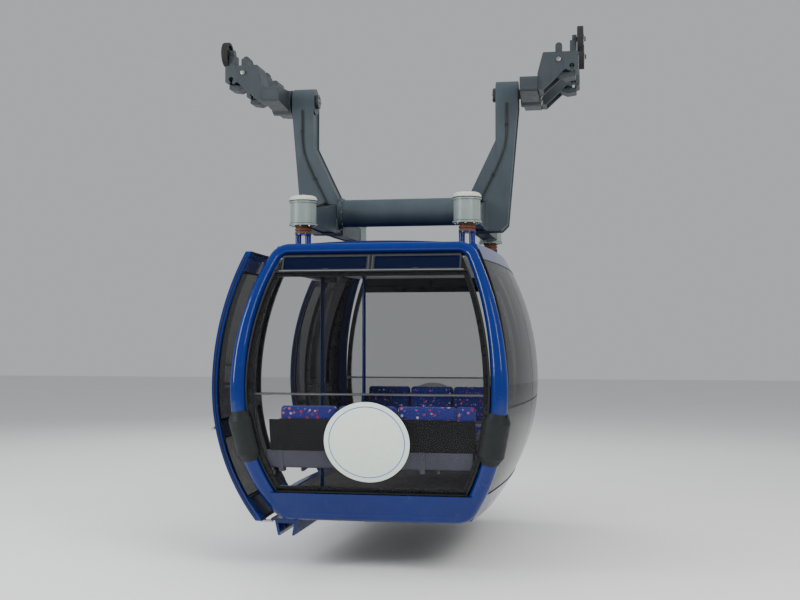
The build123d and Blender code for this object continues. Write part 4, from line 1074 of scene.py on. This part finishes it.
def cup_bolts(bm):
    """Bolts round the cups' lower rims and one on each cap."""
    for x, y in CUP_PLACES:
        bolt_circle(bm, (x, y, at(CUP_LOW)), RIM_BOLT_CIRCLE, (0, 0, -1), 8, 0.0075)
        add_bolt(bm, (x, y, at(CAP_TOP)), (0, 0, 1), 0.013)


def lug_pads(bm):
    """Pads that carry the paired lugs on the roof."""
    half_x, half_y = LUG_PAD_HALF
    low = at(roof_at(CUP_X + 0.09) - 0.004)
    high = at(roof_at(CUP_X) + LUG_PAD_RISE)
    for x, y in CUP_PLACES:
        add_block(bm, (x - half_x, y - half_y, low), (x + half_x, y + half_y, high), 0.004)


def lug_bolts(bm):
    top = at(roof_at(CUP_X) + LUG_PAD_RISE)
    for x, y in CUP_PLACES:
        for dx in (-0.082, 0.082):
            for dy in (-0.040, 0.040):
                add_bolt(bm, (x + dx, y + dy, top), (0, 0, 1), 0.0065)


def collar_bolts(bm):
    """Bolts through the collars at the cross tube's ends."""
    for side in (-1, 1):
        middle = (side * COLLAR_FACE, 0, at(CROSS_HEIGHT))
        bolt_circle(bm, middle, COLLAR_BOLT_CIRCLE, (-side, 0, 0), 14, 0.0055)


def weld_beads(bm):
    """Welds round the cross tube's ends and the side beams' roots."""
    corners = [(sx * BEAM_HALF_WIDTH, sz * BEAM_ROOT_HALF) for sx, sz in ((-1, -1), (1, -1), (1, 1), (-1, 1))]
    for side in (-1, 1):
        middle = (side * COLLAR_FACE, 0, at(CROSS_HEIGHT))
        ring = circle_points(middle, CROSS_RADIUS + 0.001, (side, 0, 0), 48)
        add_tube(bm, ring, 0.0045, closed=True, sides=6)
        for end in (-1, 1):
            loop = []
            for (ax, az), (bx, bz) in zip(corners, corners[1:] + corners[:1]):
                for share in (k / 10 for k in range(10)):
                    loop.append((side * CUP_X + ax + (bx - ax) * share, end * (ARM_HALF_DEPTH + 0.001),
                                 at(BEAM_AXIS + az + (bz - az) * share)))
            add_tube(bm, loop, 0.0065, closed=True, sides=6)


def arm_conduits(bm):
    """Rigid pipes for the door cables, clipped along the near side beams and up the arms."""
    top = BEAM_AXIS + BEAM_ROOT_HALF
    for side in (-1, 1):
        x = side * (CUP_X + 0.030)
        spline = smooth_line([
            (x, -CUP_Y + 0.10, at(CUP_LOW + 0.176)),
            (x, -0.66, at(BEAM_AXIS + 0.072)),
            (x, -0.52, at(BEAM_AXIS + 0.078)),
            (x, -0.20, at(top + 0.001)),
            (x, -0.145, at(top + 0.008)),
            (x + side * 0.006, -0.136, at(top + 0.040)),
            *((side * x_on_arm, CONDUIT_Y, at(height)) for x_on_arm, height in CONDUIT_ON_ARM),
        ])
        add_tube(bm, spline, 0.0085)
        for share in CONDUIT_CLIPS:
            place = spline[int(share * (len(spline) - 1))]
            block_at(bm, place, (0.014, 0.010, 0.013), 0.003)


def smooth_line(points, steps=8):
    """Catmull-Rom line through points."""
    points = [Vector(p) for p in points]
    points = [2 * points[0] - points[1], *points, 2 * points[-1] - points[-2]]
    line = []
    for a, b, c, d in zip(points, points[1:], points[2:], points[3:]):
        for k in range(steps):
            t = k / steps
            line.append(0.5 * (2 * b + (c - a) * t + (2 * a - 5 * b + 4 * c - d) * t**2
                               + (3 * b - a - 3 * c + d) * t**3))
    return line + [points[-2]]


add_built("seal", cup_seams)
add_built("steel", cup_bolts)
add_built("body_paint", lug_pads)
add_built("steel", lug_bolts, collar_bolts)
add_built("hanger_paint", weld_beads)
add_built("cable", arm_conduits)


def pivot_bolts(bm):
    """Bolts on the pivot pins' heads, on the rockers' hubs and on the lever pins."""
    pin_x, pin_z = LEVER_PIN
    for side in (-1, 1):
        bolt_circle(bm, (side * PIVOT_HEAD_X, 0, at(PIVOT_HEIGHT)), 0.042, (-side, 0, 0), 4, 0.009)
        bolt_circle(bm, (side * ROCKER_HUB_X, 0, at(PIVOT_HEIGHT)), 0.090, (side, 0, 0), 10, 0.010)
        for y in (-GRIP_Y, GRIP_Y):
            for end in (-1, 1):
                place = (side * pin_x, y + end * (GRIP_HALF + 0.010), pin_z)
                add_bolt(bm, place, (0, end, 0), 0.014)


def coil_springs(bm):
    """Wound springs between the castings and their levers, with a seat at each end."""
    start = FLANGE_X + 0.001
    stop = LEVER_X - 0.001
    core = ((0.0, 0.014), (stop - start, 0.014))
    count = COIL_TURNS * COIL_STEPS
    for side in (-1, 1):
        for y in (-GRIP_Y, GRIP_Y):
            points = []
            for k in range(count + 1):
                angle = 2 * math.pi * k / COIL_STEPS
                x = start + 0.008 + (stop - start - 0.016) * k / count
                z = SPRING_Z + COIL_RADIUS * math.sin(angle)
                points.append((side * x, y + COIL_RADIUS * math.cos(angle), z))
            add_tube(bm, points, WIRE_RADIUS)
            add_lathe(bm, (side * start, y, SPRING_Z), (side, 0, 0), SPRING_SEAT)
            add_lathe(bm, (side * stop, y, SPRING_Z), (-side, 0, 0), SPRING_SEAT)
            add_lathe(bm, (side * start, y, SPRING_Z), (side, 0, 0), core, 16)


def hub_cap(bm, centre, side):
    """Ring with six bolts on a wheel's outer face."""
    add_ring(bm, centre + Vector((side * WHEEL_WIDTH, 0, 0)), (side, 0, 0), HUB_RING)
    bolt_centre = centre + Vector((side * (WHEEL_WIDTH + 0.004), 0, 0))
    bolt_circle(bm, bolt_centre, HUB_BOLT_CIRCLE, (side, 0, 0), 6, 0.004)


def make_grip_trim():
    springs = add_built("steel", pivot_bolts, coil_springs, body=GRIPS)
    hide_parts("grip_springs")
    for side, word in ((-1, "left"), (1, "right")):
        for end, far in ENDS:
            body = f"wheel_{word}_{far}"
            centre = Vector((side * WHEEL_X, end * GRIP_Y, WHEEL_Z))
            tread = mesh_from("tread", lambda bm: add_ring(bm, centre, (side, 0, 0), TREAD))
            hub = mesh_from("hub", lambda bm: hub_cap(bm, centre, side))
            add_piece(f"tread_{word}_{far}", tread, "wheel_tread", body)
            add_piece(f"hub_{word}_{far}", hub, "steel", body)


make_grip_trim()

# Floor and light
FLOOR_HEIGHT = -0.42
FLOOR_HALF = 40.0
LIGHT_AIM = (0, 0, at(1.4))
WORLD_COLOUR = (0.74, 0.77, 0.80, 1)
WORLD_STRENGTH = 0.62


def make_stage():
    mesh = mesh_from("floor", lambda bm: bmesh.ops.create_grid(
        bm, x_segments=2, y_segments=2, size=FLOOR_HALF))
    floor = add_object("floor", mesh)
    floor.location = (0, 0, at(FLOOR_HEIGHT))
    paint = Paint("studio_floor")
    base = paint.mix(paint.noise(0.6), (0.74, 0.74, 0.73), (0.80, 0.80, 0.79))
    rough = paint.patches(3.0, 4.0, (0.55, 0.7), 0.3, 0.7)
    mesh.materials.append(paint.finish(base, rough))
    world = bpy.data.worlds.new("studio")
    world.use_nodes = True
    set_inputs(world.node_tree.nodes["Background"], Color=WORLD_COLOUR, Strength=WORLD_STRENGTH)
    bpy.context.scene.world = world
    lights = (
        ("key", (6.5, -8.5, 5.0), (7.0, 7.0), 1250, (1.0, 0.98, 0.95), False),
        ("fill", (-8.0, -6.0, 1.5), (7.0, 7.0), 340, (0.93, 0.96, 1.0), False),
        ("back", (-6.0, 8.0, 5.0), (6.0, 6.0), 560, (1.0, 1.0, 1.0), False),
        ("top", (0.0, -1.0, 7.0), (8.0, 8.0), 560, (1.0, 1.0, 1.0), False),
        ("right_strip", (6.5, -8.0, 1.5), (0.8, 6.0), 230, (1.0, 0.99, 0.97), True),
        ("left_strip", (-8.0, -6.5, 0.5), (1.6, 6.0), 470, (0.95, 0.97, 1.0), True),
        ("rear_strip", (5.5, 9.0, 2.5), (0.5, 5.0), 70, (1.0, 1.0, 1.0), True),
    )
    for name, place, size, power, colour, mirrored in lights:
        data = bpy.data.lights.new(name, "AREA")
        data.shape = "RECTANGLE"
        data.size, data.size_y = size
        data.energy = power
        data.color = colour
        light = add_object(name, data)
        light.location = place
        light.visible_glossy = mirrored
        light.rotation_euler = facing(place, LIGHT_AIM)


make_stage()
